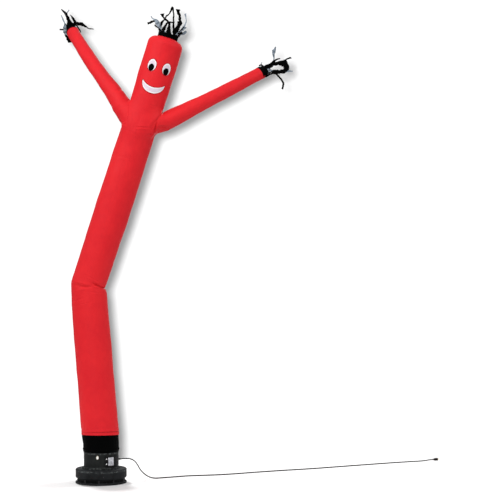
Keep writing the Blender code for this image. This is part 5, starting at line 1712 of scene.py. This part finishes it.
def sew_on(edge, start, bends, stations, radius, clear, taper, columns, ribbons, carrier):
    """A black band outside an edge and a silver one inside it, with the ribbons of each."""
    for kind, finish, ending, radii in (
            ("black", black_nylon, "_fringe", (radius + clear) * taper + BAND_CLOTH),
            ("silver", silver_nylon, "_silver", (radius - CLOTH_INSIDE - clear) * taper)):
        made, area = fringe(edge + "_ribbons_" + kind, start, bends, stations, radii, columns, ribbons[kind],
                            finish)
        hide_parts(edge + ending)
        fringes.append((made, 2 * math.pi * radii[0], area, carrier))


stations = HEAD_TOP + np.array([0.004, 0.5 * HEAD_BAND_HEIGHT, HEAD_BAND_HEIGHT])
sew_on("head", TUBE_START, TUBE_BENDS, stations, NECK_RADIUS, HEAD_BAND_CLEAR, np.ones(3), HEAD_COLUMNS,
       HEAD_RIBBONS, "body_cloth")
for arm in ARMS:
    overlap, height, end, ribbons = HAND_BANDS[arm.name]
    stations = arm.length + np.array([-overlap, 0, 0.5 * height, height])
    sew_on(arm.name + "_hand", arm.start, arm.bends, stations, ARM_GIRTHS[0][1], HAND_BAND_CLEAR,
           np.array([1.0, 1.0, (1 + end) / 2, end]), HAND_COLUMNS, ribbons, "sleeve_" + arm.name)

# %% [markdown]
#
# Each fringe's area is worked out from the sizes its cloth was cut to; measured on the finished figure it would
# come out too small. A fringe is cut into ribbons, so its own area is printed, band and ribbons together.

for made, width, area, carrier in fringes:
    print(made.name, "has", round(area, 3), "square metres of cloth")

# %% [markdown]
# ## Floor and backdrop
#
# The figure stands on a white floor, far in front of a white wall. One curved sheet, as in a studio, would
# have a soft shade where it bends. Two flat ones don't, and each can have lights of its own.

# %% Set the stage
FLOOR = ((-5.0, -6.0), (7.5, 2.3))  # two opposite corners, (x, y)
WALL = ((-12.0, -10.0), (16.0, 16.0))  # (x, z)
WALL_AT = 35.0
FLOOR_LEVEL = -0.0005

stage_white, stage_tree, stage_shader = new_finish("stage_white")
paper = noise(stage_tree, object_place(stage_tree), 0.7, 2.0)
set_inputs(stage_tree, stage_shader, {
    "Base Color": tint(stage_tree, (0.90, 0.90, 0.90), (0.88, 0.88, 0.88), paper), "Roughness": 1.0,
    "Specular IOR Level": 0.0})


def stage_sheet(name, corners, at):
    """A flat sheet of backdrop paper between two opposite corners; at gives a corner its place."""
    (left, low), (right, high) = corners
    mesh = bpy.data.meshes.new(name)
    mesh.from_pydata([at(left, low), at(right, low), at(right, high), at(left, high)], [], [(0, 1, 2, 3)])
    mesh.materials.append(stage_white)
    thing = bpy.data.objects.new(name, mesh)
    scene.collection.objects.link(thing)
    return thing


floor = stage_sheet("floor", FLOOR, lambda x, y: (x, y, FLOOR_LEVEL))
wall = stage_sheet("wall", WALL, lambda x, z: (x, WALL_AT, z))
print("stage:", floor.name, "and", wall.name)

# %% [markdown]
# ## Light
#
# A small light beside the camera, a little to its left and above it, throws a pale shadow on the wall just
# right of and below each edge. A softbox above and a little to the left leaves the undersides of the sleeves
# darker; a strip on each side and a weak fill help it, and the room's own light is stronger from above too.
# A studio picture wrapped round the scene would light all things alike; light linking keeps them apart.

# %% Light it
FIGURE_LIGHTS = (  # name, place, aim, size, power, colour
    ("softbox_above", (-1.2, -5.0, 8.4), (0.5, 0.0, 4.3), 2.4, 180, (1.0, 0.98, 0.96)),
    ("strip_left", (-6.0, -4.5, 7.9), (0.3, 0.0, 3.2), 3.0, 250, (1, 1, 1)),
    ("strip_right", (7.5, -3.0, 8.0), (0.6, 0.0, 3.2), 3.0, 190, (1, 1, 1)),
    ("fill_front", (-1.5, -9.5, 3.2), (0.5, 0.0, 3.0), 4.0, 122, (1, 1, 1)),
    ("fill_back", (2.0, 9.0, 7.0), (0.8, 0.0, 3.5), 5.0, 200, (1, 1, 1)),
)
FLOOR_LIGHTS = (  # name, place, aim, size, power
    ("floor_top", (-3.0, 6.5, 8.5), (0.4, 0.0, 0.0), 2.6, 860),
    ("floor_right", (6.5, 3.0, 8.0), (5.2, -1.0, 0.0), 2.6, 360),
)
SHADOW_KEY = ("shadow_key", (1.665, -20.0, 2.883), (1.786, 0.0, 2.789), 0.22, 26000)
ROOM_LEVEL, ROOM_UPWARD = 0.28, 0.47
ROOM_SEEN = 1.02  # as bright as the camera sees it


def light_group(name, members, state):
    """Which pieces a light falls on: only the members, or all but them."""
    group = bpy.data.collections.new(name)
    for thing in members:
        group.objects.link(thing)
    for member in group.collection_objects:
        member.light_linking.link_state = state
    return group


def soft_light(group, name, place, aim, size, power, colour=(1, 1, 1)):
    """A round area light that faces a point and falls on one group."""
    data = bpy.data.lights.new(name, "AREA")
    data.shape = "DISK"
    data.size = size
    data.energy = power
    data.color = colour
    light = bpy.data.objects.new(name, data)
    back = np.array(place, float) - np.array(aim, float)
    light.location = place
    light.rotation_euler = (math.atan2(math.hypot(back[0], back[1]), back[2]), 0, math.atan2(back[0], -back[1]))
    scene.collection.objects.link(light)
    light.light_linking.receiver_collection = group
    light.visible_camera = False
    return light


soft_light(light_group("lights_wall", [wall], "INCLUDE"), *SHADOW_KEY)
for_floor = light_group("lights_floor", [floor], "INCLUDE")
casters = light_group("shadows_floor", [drum, plate, barrel, cuff, mains_cord, plug_body], "INCLUDE")
for row in FLOOR_LIGHTS:
    soft_light(for_floor, *row).light_linking.blocker_collection = casters
for_figure = light_group("lights_figure", [floor, wall], "EXCLUDE")
for row in FIGURE_LIGHTS:
    soft_light(for_figure, *row)

world = bpy.data.worlds.new("studio")
scene.world = world
world.use_nodes = True
tree = world.node_tree
camera_ray = add_node(tree, "ShaderNodeLightPath").outputs["Is Camera Ray"]
direction = add_node(tree, "ShaderNodeTexCoord").outputs["Generated"]
upward = add_node(tree, "ShaderNodeSeparateXYZ", {0: direction}).outputs[2]
room = calc(tree, "MULTIPLY_ADD", calc(tree, "MAXIMUM", upward, 0.0), ROOM_UPWARD, ROOM_LEVEL)
seen = calc(tree, "MULTIPLY", camera_ray, ROOM_SEEN)
set_inputs(tree, tree.nodes["Background"], {"Color": (1, 1, 1, 1), "Strength": calc(tree, "MAXIMUM", room, seen)})
scene.view_settings.view_transform = "Standard"
print("lights:", 1 + len(FLOOR_LIGHTS) + len(FIGURE_LIGHTS))
